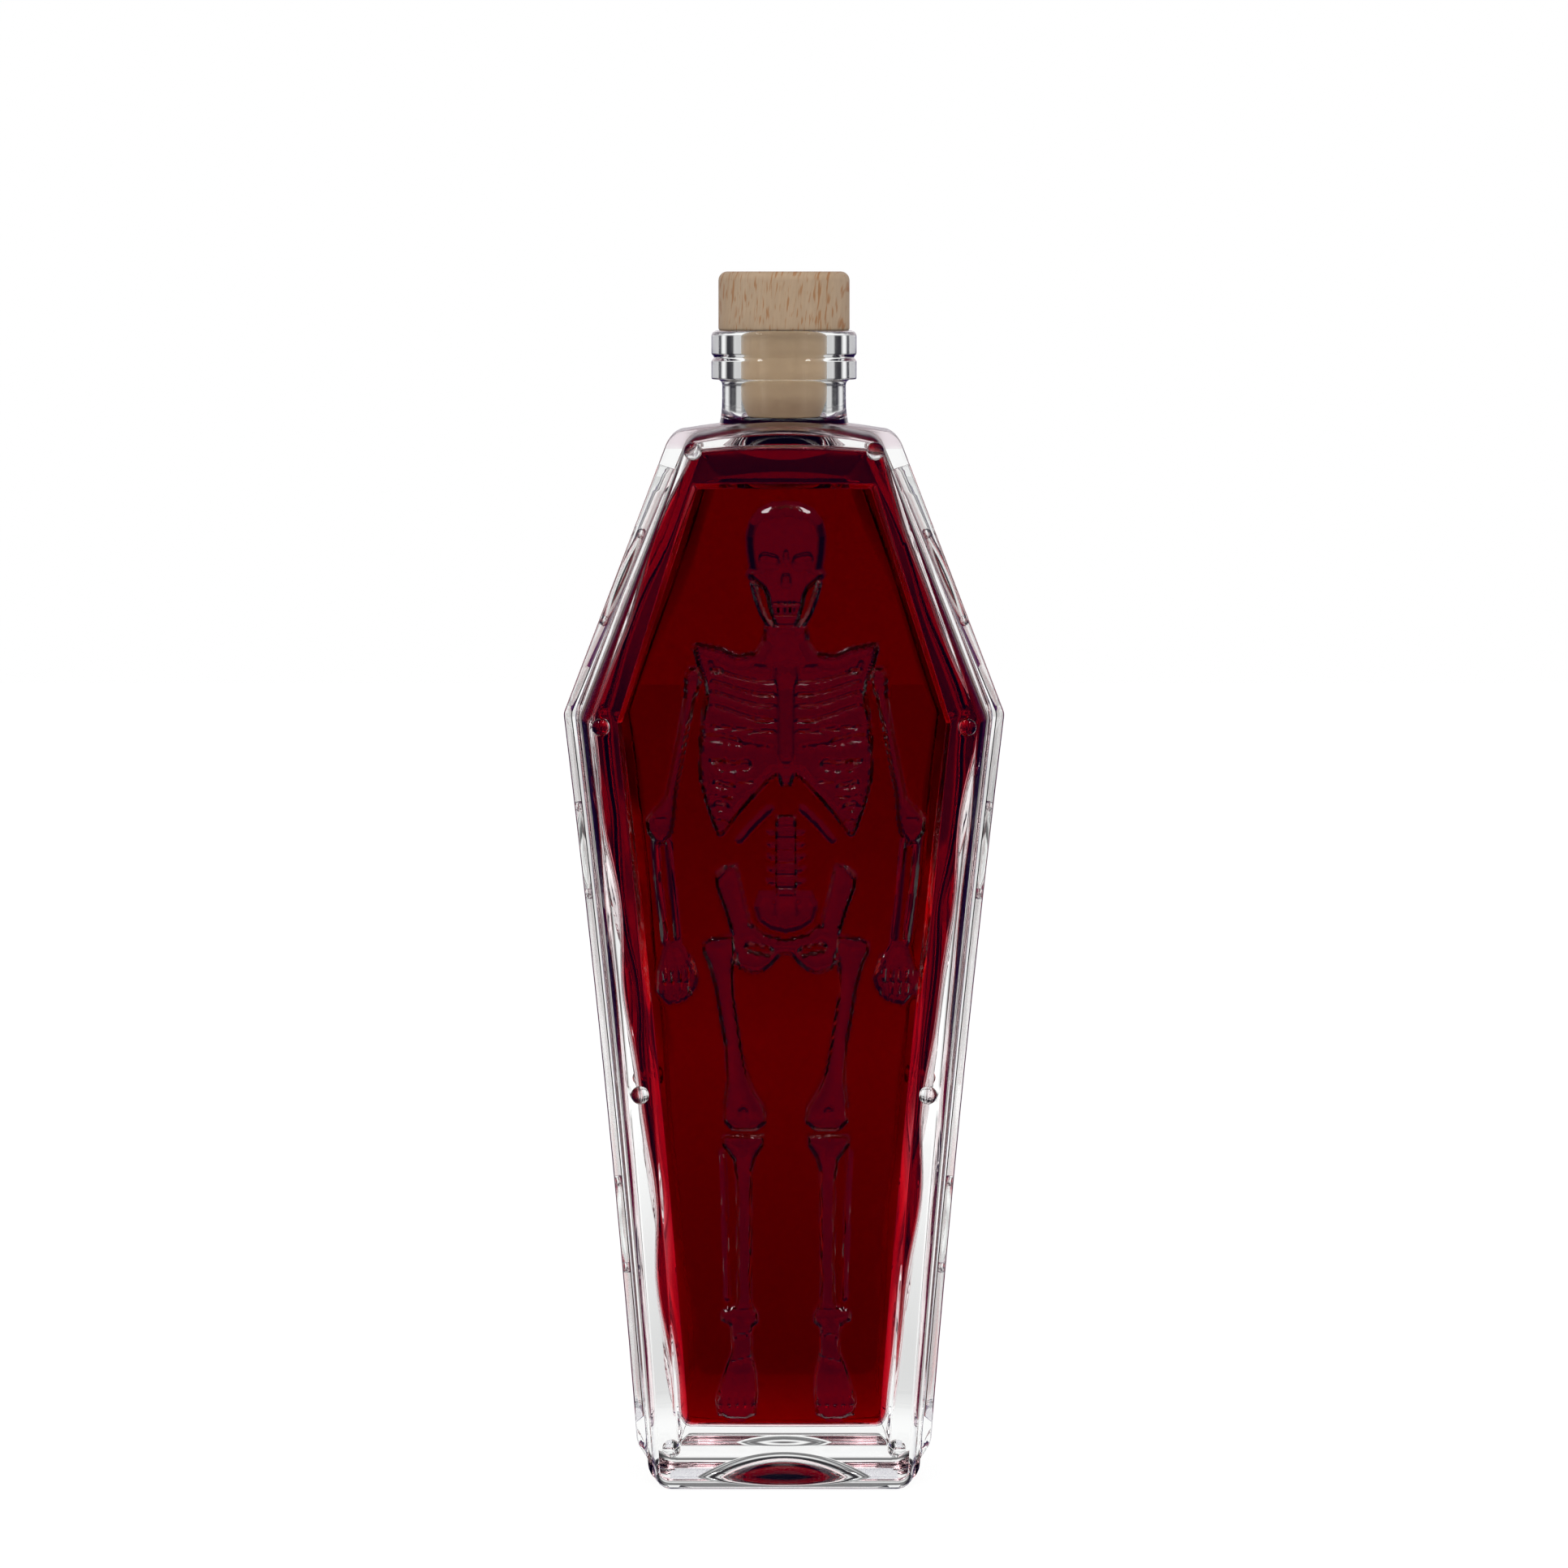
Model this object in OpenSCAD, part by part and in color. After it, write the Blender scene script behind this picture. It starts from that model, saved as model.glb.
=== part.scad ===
// Coffin-shaped glass bottle with a moulded skeleton, filled and closed with a wooden T-stopper.
// Millimetres. +Z is up, the front faces -Y, and the origin is the centre of the base's underside.

/* [Glass body] */
// Height of the waist above the base
waist_z = 164.4; // [140:0.2:190]
// Height of the shoulder's edge above the base
shoulder_z = 224; // [205:0.5:250]
// Width over the raised rims at the waist
waist_w = 93.2; // [80:0.2:105]
// Width over the raised rims at the shoulder
shoulder_w = 47.6; // [42:0.2:54]
// Width over the raised rims at their lower end
heel_w = 61.8; // [56:0.2:68]
// Depth over the front and back frames
body_d = 52; // [46:0.5:60]
// How far the long lower sides bow inwards
side_bow = 0.8; // [0:0.1:1.5]
// How far the shoulder rises from its edge to the neck
shoulder_rise = 1.8; // [1:0.1:3]

/* [Rims and panels] */
// Depth of the flat side walls, over both rims
side_d = 34; // [30:0.5:36]
// Width of each raised rim along the side walls
rim_w = 4; // [2.5:0.1:5]
// How far the rims stand out from the side panels
rim_step = 2.1; // [1:0.1:2.5]
// Height of the rims' lower end above the base
rim_z = 5.6; // [4.5:0.1:8]
// How deep the front and back panels lie in their frames
panel_deep = 1.6; // [0.8:0.1:2.2]
// Width of the flat frame round the panels
frame_w = 5.6; // [4.5:0.1:6.5]
// Height of the panels' lower edge above the base
panel_z = 14.5; // [12:0.5:20]
// Depth of the hollow under the base
punt_deep = 2; // [1:0.1:3]

/* [Hollow] */
// Glass between the cavity and the panels
front_wall = 4.2; // [3:0.1:5]
// Glass between the cavity and the side panels at the waist
side_wall = 5.8; // [4:0.1:7]
// Glass between the cavity and the side panels near the base
foot_wall = 4; // [3:0.1:5]
// Thickness of the glass base
base_wall = 14.5; // [10:0.5:20]
// Glass over the cavity at the shoulder
top_wall = 4.5; // [3:0.1:6]
// Height of the liquid's surface below the stopper's tip
air_gap = 1.7; // [1:0.1:4]

/* [Neck] */
// Height of the neck from the shoulder's edge to the top of the lip
neck_h = 21; // [19:0.5:24]
// Diameter of the bore
bore_d = 18.4; // [17:0.1:19.5]
// Diameter of the neck at its narrowest
neck_d = 26.3; // [25:0.1:28]
// Diameter of the lip ring
lip_d = 30.9; // [30:0.1:33]
// Height of the lip ring
lip_h = 10.4; // [8:0.1:12]

/* [Stopper] */
// Diameter of the wooden head
head_d = 28.4; // [26:0.1:30]
// Height of the wooden head
head_h = 12.5; // [10:0.5:18]
// Length of the shank below the head
shank_h = 19; // [15:0.5:20]
// Gap all round between the shank and the bore
shank_gap = 0.05; // [0.02:0.01:0.1]
// Diameter of the glued spigot inside the head
spigot_d = 10; // [8:0.5:12]
// Length of the spigot
spigot_h = 7; // [5:0.5:8]
// Gap for the glue round the spigot
glue_gap = 0.05; // [0.02:0.01:0.1]

/* [Relief] */
// How far the bones stand out from the front panel
bone_h = 1; // [0.5:0.1:1.4]
// Diameter of the studs on the front frame
stud_d = 3.9; // [3:0.1:4.5]
// Length of each side handle between its bosses
handle_l = 18.4; // [14:0.2:22]
// Diameter of a side handle's bosses
boss_d = 3.4; // [2.4:0.1:4]

/* [Hidden] */

glass_colour = [0.86, 0.9, 0.88, 0.45];
liquid_colour = [0.42, 0.01, 0.03];
beech_colour = [0.78, 0.64, 0.47];
polymer_colour = [0.76, 0.66, 0.53];

round_fn = 96;
bar_fn = 32;
arc_steps = 4;
side_steps = 6;
far = 200;

front_y = body_d / 2;
side_y = side_d / 2;
lip_z = shoulder_z + neck_h;
bore_r = bore_d / 2;
shank_r = bore_r - shank_gap;
tip_z = lip_z - shank_h;
tip_chamfer = 2.9;
tip_r = shank_r - 1.55;
level_z = tip_z - air_gap;

// An outline is [half width and height of its lower corner, of its waist, and of its upper corner,
// radii of those three corners].
rim_line = [
    [heel_w / 2, rim_z], [waist_w / 2, waist_z], [shoulder_w / 2, shoulder_z], [4.5, 3, 4.4]
];
core_line = [
    [heel_w / 2 - rim_step - 0.3, 0],
    [waist_w / 2 - rim_step + 0.3, waist_z - 0.2],
    [shoulder_w / 2 - 1.9 * rim_step, shoulder_z],
    [4.5, 3, 4.4]
];
// The front face lies further in, and its corners sit lower at the top and higher at the heel.
face_inset = 4;
face_line = [
    [core_line[0][0] - 2.4, 4.5],
    [core_line[1][0] - face_inset, waist_z - 1.6],
    [core_line[2][0] + 0.5, shoulder_z - 2.6],
    [1.5, 2, 2]
];
panel_line = [
    [face_line[0][0] - frame_w - 0.35, panel_z],
    [face_line[1][0] - frame_w - 1.1, waist_z - 1.6],
    [face_line[2][0] - 0.375 * frame_w, face_line[2][1] - 9.4],
    [1.6, 1, 0.8]
];
// The panel's bevel is narrow at the sides and tall along the bottom.
bevel_line = [
    [panel_line[0][0] + 2.3, panel_line[0][1] - 4.8],
    [panel_line[1][0] + 1, panel_line[1][1]],
    [panel_line[2][0] + 0.9, panel_line[2][1] + 1.2],
    [0.8, 1, 0.8]
];
cavity_line = [
    [core_line[0][0] - foot_wall + 1, base_wall],
    [core_line[1][0] - side_wall, waist_z - 0.6],
    [core_line[2][0] - 0.4, shoulder_z - top_wall],
    [7, 9, 6]
];
cavity_y = front_y - panel_deep - front_wall;
cavity_round = 11;
heel_round = 4.5;
dome_r = 13;
flare_w = 3.2;
flare_h = 5;
rim_end = 7.5;

// Points of an arc that rounds the corner b between a and c.
function unit(v) = v / norm(v);
function corner(a, b, c, r) =
    let(
        u = unit(a - b),
        v = unit(c - b),
        half = acos(u * v) / 2,
        mid = b + unit(u + v) * r / sin(half),
        from = b + u * r / tan(half) - mid,
        to = b + v * r / tan(half) - mid
    )
    [for (i = [0:arc_steps]) mid + r * unit(from * (arc_steps - i) + to * i)];

// Points between two ends, bowed sideways in x.
function bowed(a, b, bow, steps) =
    [for (i = [1:steps - 1]) let(t = i / steps) a + (b - a) * t + [-4 * bow * t * (1 - t), 0]];
function raised(a, b, rise, steps) =
    [for (i = [1:steps - 1]) let(t = i / steps) a + (b - a) * t + [0, 4 * rise * t * (1 - t)]];

function flipped(points) = [for (i = [len(points) - 1:-1:0]) [-points[i][0], points[i][1]]];

// The whole outline, anticlockwise from its lower right corner.
function outline(line, bow = side_bow, rise = 0) =
    let(
        foot = corner([-line[0][0], line[0][1]], line[0], line[1], line[3][0]),
        waist = corner(line[0], line[1], line[2], line[3][1]),
        top = corner(line[1], line[2], [-line[2][0], line[2][1]], line[3][2]),
        right = concat(foot, bowed(foot[arc_steps], waist[0], bow, side_steps), waist, top)
    )
    concat(right, raised(top[arc_steps], [-top[arc_steps][0], top[arc_steps][1]], rise, side_steps),
        flipped(right));

// Part way between two outlines, with its own share for the sides, the foot and the top.
function between(a, b, side, foot, top) = [
    [a[0][0] + (b[0][0] - a[0][0]) * side, a[0][1] + (b[0][1] - a[0][1]) * foot],
    a[1] + (b[1] - a[1]) * side,
    [a[2][0] + (b[2][0] - a[2][0]) * side, a[2][1] + (b[2][1] - a[2][1]) * top],
    a[3] + (b[3] - a[3]) * side
];

// How far a quarter ellipse has come in at y, where it starts at start and ends at finish.
function eased(y, start, finish) =
    let(t = min(max((abs(y) - start) / (finish - start), 0), 1)) 1 - sqrt(1 - t * t);

// A closed skin through outlines that all have as many points, one at each y.
module loft(ys, rings) {
    n = len(rings[0]);
    last = len(ys) - 1;
    points = [for (k = [0:last], p = rings[k]) [p[0], ys[k], p[1]]];
    walls = [
        for (k = [0:last - 1], i = [0:n - 1])
            each [
                [k * n + i, k * n + (i + 1) % n, (k + 1) * n + i],
                [k * n + (i + 1) % n, (k + 1) * n + (i + 1) % n, (k + 1) * n + i]
            ]
    ];
    near = [[for (i = [n - 1:-1:0]) i]];
    away = [[for (i = [0:n - 1]) last * n + i]];
    polyhedron(points, concat(near, walls, away), convexity = 6);
}

// Where a rounded edge gets its rings, as shares of its depth.
edge_shares = [0, 0.35, 0.6, 0.8, 0.92, 1];
function rings_y(start, finish) =
    let(ys = [for (t = edge_shares) start + (finish - start) * t])
    concat([for (i = [len(ys) - 1:-1:0]) -ys[i]], ys);

// A prism along Y with the given outline, centred on the XZ plane.
module slab(points, depth) {
    rotate([90, 0, 0]) linear_extrude(depth, center = true) polygon(points);
}

// The body without its rims, panels and neck. It is drawn a little too deep and trimmed flat.
module core() {
    spare = 1;
    ys = concat([-front_y - spare], rings_y(side_y, front_y), [front_y + spare]);
    intersection() {
        loft(ys, [
            for (y = ys)
                outline(between(core_line, face_line,
                    eased(y, side_y, front_y),
                    eased(y, front_y - heel_round, front_y),
                    eased(y, side_y, front_y)), side_bow, shoulder_rise)
        ]);
        cube([far, body_d, 2 * far + lip_z], center = true);
    }
}

// The raised rims along both edges of each side wall, joined at their ends.
module rims() {
    difference() {
        slab(outline(rim_line, side_bow, shoulder_rise), side_d);
        difference() {
            translate([0, 0, (rim_z + shoulder_z) / 2])
                cube([far, side_d - 2 * rim_w, shoulder_z - rim_z - 2 * rim_end], center = true);
            slab(outline(core_line, side_bow, shoulder_rise), side_d);
        }
    }
}

// What is cut away in front of a panel. It is drawn past the frame and the floor, and trimmed flat.
module panel_cut() {
    shares = [1.5, -0.5];
    floor_y = -front_y + panel_deep;
    intersection() {
        loft(
            [for (share = shares) floor_y - share * panel_deep],
            [for (share = shares) outline(between(panel_line, bevel_line, share, share, share))]
        );
        translate([-far / 2, floor_y - far, 0]) cube([far, far, lip_z]);
    }
}

// Neck, lip ring and the flare down to the shoulder, as a turned profile.
module neck() {
    lip_r = lip_d / 2;
    neck_r = neck_d / 2;
    root_r = neck_r + flare_w;
    root_z = shoulder_z + 1;
    ring_z = lip_z - lip_h;
    groove_z = lip_z - 0.55 * lip_h;
    groove_deep = 0.5;
    groove_half = 0.6;
    lip_round = 1.3;
    edge = 0.3;
    rotate_extrude($fn = round_fn) polygon(concat(
        [[0, root_z - 7], [root_r, root_z - 7]],
        [for (a = [0:15:90]) [root_r - flare_w * sin(a), root_z + flare_h * (1 - cos(a))]],
        [[neck_r, ring_z - 1], [neck_r + 0.5, ring_z], [lip_r - edge, ring_z], [lip_r, ring_z + edge]],
        [[lip_r, groove_z - groove_half], [lip_r - groove_deep, groove_z], [lip_r, groove_z + groove_half]],
        [for (a = [0:22.5:90]) [lip_r - lip_round * (1 - cos(a)), lip_z - lip_round * (1 - sin(a))]],
        [[0, lip_z]]
    ));
}

// The space inside the glass: the body's hollow, the dome under the neck and the bore.
module cavity() {
    ys = rings_y(cavity_y - cavity_round, cavity_y);
    top_z = cavity_line[2][1];
    narrow = 0.8;
    tight = [
        [narrow * cavity_line[0][0], base_wall + 9],
        [narrow * cavity_line[1][0], waist_z],
        [narrow * cavity_line[2][0], top_z - 7],
        [3, 4, 2]
    ];
    loft(ys, [
        for (y = ys)
            let(share = eased(y, cavity_y - cavity_round, cavity_y))
            outline(between(cavity_line, tight, share, share, share), side_bow, 1)
    ]);
    rotate_extrude($fn = round_fn) polygon([
        [0, top_z - 4], [dome_r, top_z - 4], [dome_r, top_z - 1], [dome_r - 1.4, top_z + 1.4],
        [bore_r, max(level_z, top_z + 2) - 0.8], [bore_r, lip_z + 1], [0, lip_z + 1]
    ]);
}

// The skeleton is drawn for a panel of this height and half width, and stretched to the real one.
figure_foot = 14.5;
figure_tall = (panel_line[2][1] - panel_z) / 197.5;
figure_wide = panel_line[1][0] / 34.1;

// A bone from a to b, with its own radius at each end.
module bone(a, b, ra, rb) {
    turn = atan2(b[1] - a[1], b[0] - a[0]);
    polygon(concat(
        [for (t = [90:30:270]) a + ra * [cos(turn + t), sin(turn + t)]],
        [for (t = [-90:30:90]) b + rb * [cos(turn + t), sin(turn + t)]]
    ));
}

module chain(points, r) {
    for (i = [0:len(points) - 2]) bone(points[i], points[i + 1], r, r);
}

module both_sides() {
    children();
    mirror([1, 0]) children();
}

module skull() {
    skull_z = 199.5;
    difference() {
        union() {
            translate([0, skull_z + 1]) scale([0.92, 1]) circle(9, $fn = 32);
            polygon([[-8.6, skull_z - 2], [8.6, skull_z - 2], [8.4, skull_z - 8], [4.6, skull_z - 13],
                [3, skull_z - 20], [-3, skull_z - 20], [-4.6, skull_z - 13], [-8.4, skull_z - 8]]);
        }
        both_sides() translate([3.7, skull_z - 4]) circle(2.3, $fn = 12);
        polygon([[-1.3, skull_z - 10.2], [1.3, skull_z - 10.2], [0, skull_z - 6.4]]);
        translate([-3.2, skull_z - 14.2]) square([6.4, 0.7]);
    }
}

rib_count = 9;
module chest() {
    both_sides() {
        bone([3, 178.2], [11, 177.2], 1, 1);
        bone([11, 177.2], [19.4, 179.4], 1, 1.4);
        for (i = [0:rib_count - 1]) {
            top = 175 - i * 3.4;
            wide = 12.5 + 5.5 * sin(20 + i * 17);
            drop = 3 + i * 0.35;
            chain([[1.6, top], [wide * 0.6, top + 0.9 - i * 0.25], [wide, top - drop]], 0.75);
        }
        chain([[1.5, 148.5], [6, 143], [13.5, 137.4], [15.6, 143]], 0.9);
    }
    bone([0, 177], [0, 150], 2, 1.5);
}

module spine() {
    for (z = [122.5:4:150]) bone([-1.2, z], [1.2, z], 1.6, 1.6);
    bone([0, 180.5], [0, 176], 1.9, 1.9);
}

module pelvis() {
    both_sides() {
        chain([[6, 127], [13.6, 131], [14.8, 127.5], [11.6, 119.5], [14, 115]], 1.7);
        chain([[7, 120.5], [4, 117.3], [0, 116]], 1.4);
        chain([[8.5, 116], [9.3, 112], [6, 108], [2.6, 111.5], [0.8, 114.4]], 1.2);
    }
    bone([0, 124], [0, 118.5], 3.6, 1.2);
}

module arm() {
    bone([20, 174], [21, 171], 2, 1.6);
    bone([20.6, 173], [25.6, 144], 1.5, 1.3);
    bone([25.4, 143.4], [27.6, 141.5], 2, 2);
    bone([26.2, 141], [25.2, 117], 0.9, 0.9);
    bone([28.4, 141], [23.2, 117], 0.9, 0.9);
    for (i = [0:3]) bone([23.6, 115.6], [19.6 + i * 2.5, 104.6 - sin(i * 60) * 1.5], 1, 0.8);
    bone([21.8, 115], [18.4, 109.5], 0.9, 0.7);
    bone([23.4, 114.6], [23, 110.5], 2.6, 3);
}

module leg() {
    bone([13.2, 113.6], [17.6, 116.6], 2, 1.7);
    bone([15.6, 113], [11, 79.5], 1.9, 2);
    bone([9, 76.8], [13, 77], 2, 2);
    bone([8.9, 72], [11.8, 72], 1.9, 1.9);
    bone([10, 70], [8.8, 37], 1.4, 1.2);
    bone([14, 70], [13, 38], 0.8, 0.8);
    bone([8.6, 36.5], [13, 36.5], 1.5, 1.4);
    bone([11, 33], [11, 26], 3, 2.6);
    for (i = [0:4]) bone([11, 27.5], [7 + i * 2.1, 17.4 + abs(i - 1) * 0.6], 1, 1);
}

module skeleton() {
    root = 0.4;
    translate([0, -front_y + panel_deep - bone_h, 0]) rotate([90, 0, 0]) mirror([0, 0, 1])
        linear_extrude(bone_h + root)
            translate([0, panel_z]) scale([figure_wide, figure_tall]) translate([0, -figure_foot])
                offset(delta = 0.05) union() {
                    skull();
                    chest();
                    spine();
                    pelvis();
                    both_sides() arm();
                    both_sides() leg();
                }
}

// Round studs on both frames: at their corners and half way down their long sides.
stud_line = 2.3;
stud_places = [
    [face_line[2][0] - 1.2, face_line[2][1] - 1.5],
    [face_line[1][0] - stud_line, face_line[1][1] - 0.8],
    [(face_line[0][0] + face_line[1][0]) / 2 - stud_line - side_bow, (waist_z + panel_z) / 2 - 5.2],
    [face_line[0][0] - stud_line, panel_z - 5.4]
];
module stud() {
    stud_r = stud_d / 2;
    rotate([90, 0, 0]) rotate_extrude($fn = round_fn) polygon(concat(
        [[0, -panel_deep], [stud_r, -panel_deep]],
        [for (a = [0:15:90]) stud_r * [cos(a), sin(a)]]
    ));
}

module studs() {
    for (p = stud_places, x = [-1, 1], turn = [0, 180])
        rotate([0, 0, turn]) translate([x * p[0], -front_y, p[1]]) stud();
}

// Three bar handles in each side panel, each with a round boss at both ends.
function side_x(z) =
    z > core_line[1][1]
    ? core_line[1][0] - (z - core_line[1][1]) * (core_line[1][0] - core_line[2][0])
        / (core_line[2][1] - core_line[1][1])
    : let(t = z / core_line[1][1])
        core_line[0][0] + (core_line[1][0] - core_line[0][0]) * t - 4 * side_bow * t * (1 - t);
handle_places = [waist_z + 27.6, waist_z - 30.1, waist_z - 110.6];
module handles() {
    boss_r = boss_d / 2;
    bar_r = 0.6 * boss_r;
    for (z = handle_places, side = [-1, 1]) {
        low = [side * side_x(z - handle_l / 2), 0, z - handle_l / 2];
        high = [side * side_x(z + handle_l / 2), 0, z + handle_l / 2];
        tilt = atan2(high[0] - low[0], high[2] - low[2]);
        for (end = [low, high])
            translate(end) sphere(boss_r, $fn = round_fn);
        translate(low) rotate([0, tilt, 0]) cylinder(h = norm(high - low), r = bar_r, $fn = bar_fn);
    }
}

module bottle() {
    punt_r = 18;
    punt_ball = (punt_r * punt_r + punt_deep * punt_deep) / (2 * punt_deep);
    color(glass_colour) difference() {
        union() {
            difference() {
                union() {
                    core();
                    rims();
                    neck();
                }
                panel_cut();
                mirror([0, 1, 0]) panel_cut();
                translate([0, 0, punt_deep - punt_ball]) sphere(punt_ball, $fn = round_fn);
            }
            skeleton();
            studs();
            handles();
        }
        cavity();
    }
}

module liquid() {
    color(liquid_colour) intersection() {
        cavity();
        translate([-far / 2, -far / 2, 0]) cube([far, far, level_z]);
    }
}

module stopper_head() {
    head_r = head_d / 2;
    top_round = 1.8;
    foot_round = 0.4;
    color(beech_colour) difference() {
        translate([0, 0, lip_z]) rotate_extrude($fn = round_fn) polygon(concat(
            [[0, 0], [head_r - foot_round, 0], [head_r, foot_round]],
            [for (a = [0:15:90]) [head_r - top_round * (1 - cos(a)), head_h - top_round * (1 - sin(a))]],
            [[0, head_h]]
        ));
        translate([0, 0, lip_z - 1])
            cylinder(h = spigot_h + glue_gap + 1, d = spigot_d + 2 * glue_gap, $fn = round_fn);
    }
}

module stopper_shank() {
    color(polymer_colour) union() {
        translate([0, 0, tip_z + tip_chamfer])
            cylinder(h = shank_h - tip_chamfer + spigot_h, d = spigot_d, $fn = round_fn);
        translate([0, 0, tip_z + tip_chamfer])
            cylinder(h = shank_h - tip_chamfer, r = shank_r, $fn = round_fn);
        translate([0, 0, tip_z])
            cylinder(h = tip_chamfer, r1 = tip_r, r2 = shank_r, $fn = round_fn);
    }
}

bottle();
liquid();
stopper_head();
stopper_shank();
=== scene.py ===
# %% [markdown]
# A coffin-shaped bottle of clear moulded glass, filled with a dark red liquid and closed with a wooden
# stopper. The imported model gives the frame: the bodies that move, and where everything is. Each
# piece below is modelled in millimetres, scaled to metres when it is finished, and then rides on
# the body that carries it.

# %% Load the frame
import math

import bmesh
import bpy
import numpy as np
from mathutils import Matrix, Vector


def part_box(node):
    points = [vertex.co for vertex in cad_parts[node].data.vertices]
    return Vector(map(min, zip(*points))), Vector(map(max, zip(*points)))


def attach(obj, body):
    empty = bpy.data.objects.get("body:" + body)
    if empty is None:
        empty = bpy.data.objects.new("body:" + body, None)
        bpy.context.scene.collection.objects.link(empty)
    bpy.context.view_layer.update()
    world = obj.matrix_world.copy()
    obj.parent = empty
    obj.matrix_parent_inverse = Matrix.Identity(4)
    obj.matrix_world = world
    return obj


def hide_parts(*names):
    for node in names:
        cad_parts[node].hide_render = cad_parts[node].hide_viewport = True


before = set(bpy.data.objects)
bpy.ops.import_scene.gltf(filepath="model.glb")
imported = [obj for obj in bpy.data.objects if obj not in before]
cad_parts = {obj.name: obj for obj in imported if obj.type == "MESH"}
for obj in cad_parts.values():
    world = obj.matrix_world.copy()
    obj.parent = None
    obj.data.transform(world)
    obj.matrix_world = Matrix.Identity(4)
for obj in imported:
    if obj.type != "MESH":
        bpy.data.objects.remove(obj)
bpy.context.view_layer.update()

MM = 0.001
glass_low, glass_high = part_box("bottle")
head_low, head_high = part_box("stopper_head")
shank_low, shank_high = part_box("stopper_shank")
liquid_low, liquid_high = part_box("liquid")

# %% [markdown]
# The camera comes first, because every comparison with the photograph depends on it. The stopper's
# top is seen exactly edge on, so the lens was level with it, and it was far away, because the
# bottle's near and far edges are almost the same size.

# %% The camera
scene = bpy.context.scene
scene.view_settings.view_transform = "Standard"
EYE_DISTANCE = 1.55
EYE_HEIGHT = head_high[2]
AIM_HEIGHT = 0.1482
FRAME_WIDTH = 0.3352
SENSOR = 36.0

camera_data = bpy.data.cameras.new("camera")
camera = bpy.data.objects.new("camera", camera_data)
scene.collection.objects.link(camera)
scene.camera = camera
camera.location = (0, -EYE_DISTANCE, EYE_HEIGHT)
aim = Vector((0, 0, AIM_HEIGHT)) - camera.location
camera.rotation_euler = aim.to_track_quat("-Z", "Y").to_euler()
camera_data.sensor_width = SENSOR
camera_data.lens = SENSOR * aim.length / FRAME_WIDTH
camera_data.clip_start = 0.05
print("lens in mm:", round(camera_data.lens, 1))

# %% [markdown]
# One helper adds a shader node, sets its inputs and links it. A second one turns a colour, given as
# an sRGB hex value, into the linear values that shaders use.

# %% Shader helpers
def linear(hex_value, alpha=1.0):
    channels = [int(hex_value[i:i + 2], 16) / 255 for i in (1, 3, 5)]
    return [c / 12.92 if c <= 0.04045 else ((c + 0.055) / 1.055) ** 2.4 for c in channels] + [alpha]


def add(tree, kind, inputs=None, links=None, **settings):
    """A new node with its settings, input values by name or number, and links to its inputs."""
    node = tree.nodes.new(kind)
    for name, value in settings.items():
        setattr(node, name, value)
    for name, value in (inputs or {}).items():
        node.inputs[name].default_value = value
    for name, source in (links or {}).items():
        tree.links.new(source, node.inputs[name])
    return node


def new_material(name):
    """An empty node material and its tree."""
    material = bpy.data.materials.new(name)
    material.use_nodes = True
    material.node_tree.nodes.clear()
    return material, material.node_tree


# %% [markdown]
# Glass has no look of its own: it shows what is around it. Product photographers stand it before a
# white ground and keep the room dark, so that every edge that bends the view sideways turns dark.
# The world does the same. The camera sees plain white, light that has gone through the glass sees
# white grounds with darker gaps between them, and mirror reflections see a dark room.

# %% The world
ROOM_GREY = 0.03
ROOM_COLOUR = (0.03, 0.012, 0.12, 1.0)
GROUND_BANDS = ((0.0, 1.0), (6.0, 1.0), (20.0, 0.04), (43.0, 0.04), (50.0, 0.66), (90.0, 0.66))
HEIGHT_BANDS = ((0.0, 1.0), (0.05, 1.0), (0.12, 0.2), (0.22, 0.2), (0.28, 1.0), (0.5, 1.0),
                (0.57, 0.04), (0.69, 0.04), (0.76, 1.0), (1.0, 1.0))
FILL_LIGHT = 0.75


def banded(tree, value, bands, reach):
    """Brightness by bands, given as pairs of place and brightness, for values from 0 to reach."""
    scaled = add(tree, "ShaderNodeMath", {1: 1 / reach}, {0: value}, operation="MULTIPLY")
    ramp = add(tree, "ShaderNodeValToRGB", links={"Fac": scaled.outputs[0]})
    for i, (at, bright) in enumerate(bands):
        stops = ramp.color_ramp.elements
        stop = stops[i] if i < 1 else stops.new(at / reach) if i < len(bands) - 1 else stops[-1]
        stop.position, stop.color = at / reach, (bright, bright, bright, 1)
    return ramp.outputs["Color"]


def azimuth_bands(tree, axes):
    """The bright grounds and dark gaps by azimuth, the same in front, behind and on both sides."""
    azimuth = add(tree, "ShaderNodeMath", operation="ARCTAN2",
                  links={0: axes.outputs["X"], 1: axes.outputs["Y"]})
    turns = add(tree, "ShaderNodeMath", {1: 180 / math.pi}, {0: azimuth.outputs[0]},
                operation="MULTIPLY")
    folded = add(tree, "ShaderNodeMath", {1: 90.0}, {0: turns.outputs[0]}, operation="PINGPONG")
    return banded(tree, folded.outputs[0], GROUND_BANDS, 90.0)


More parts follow.
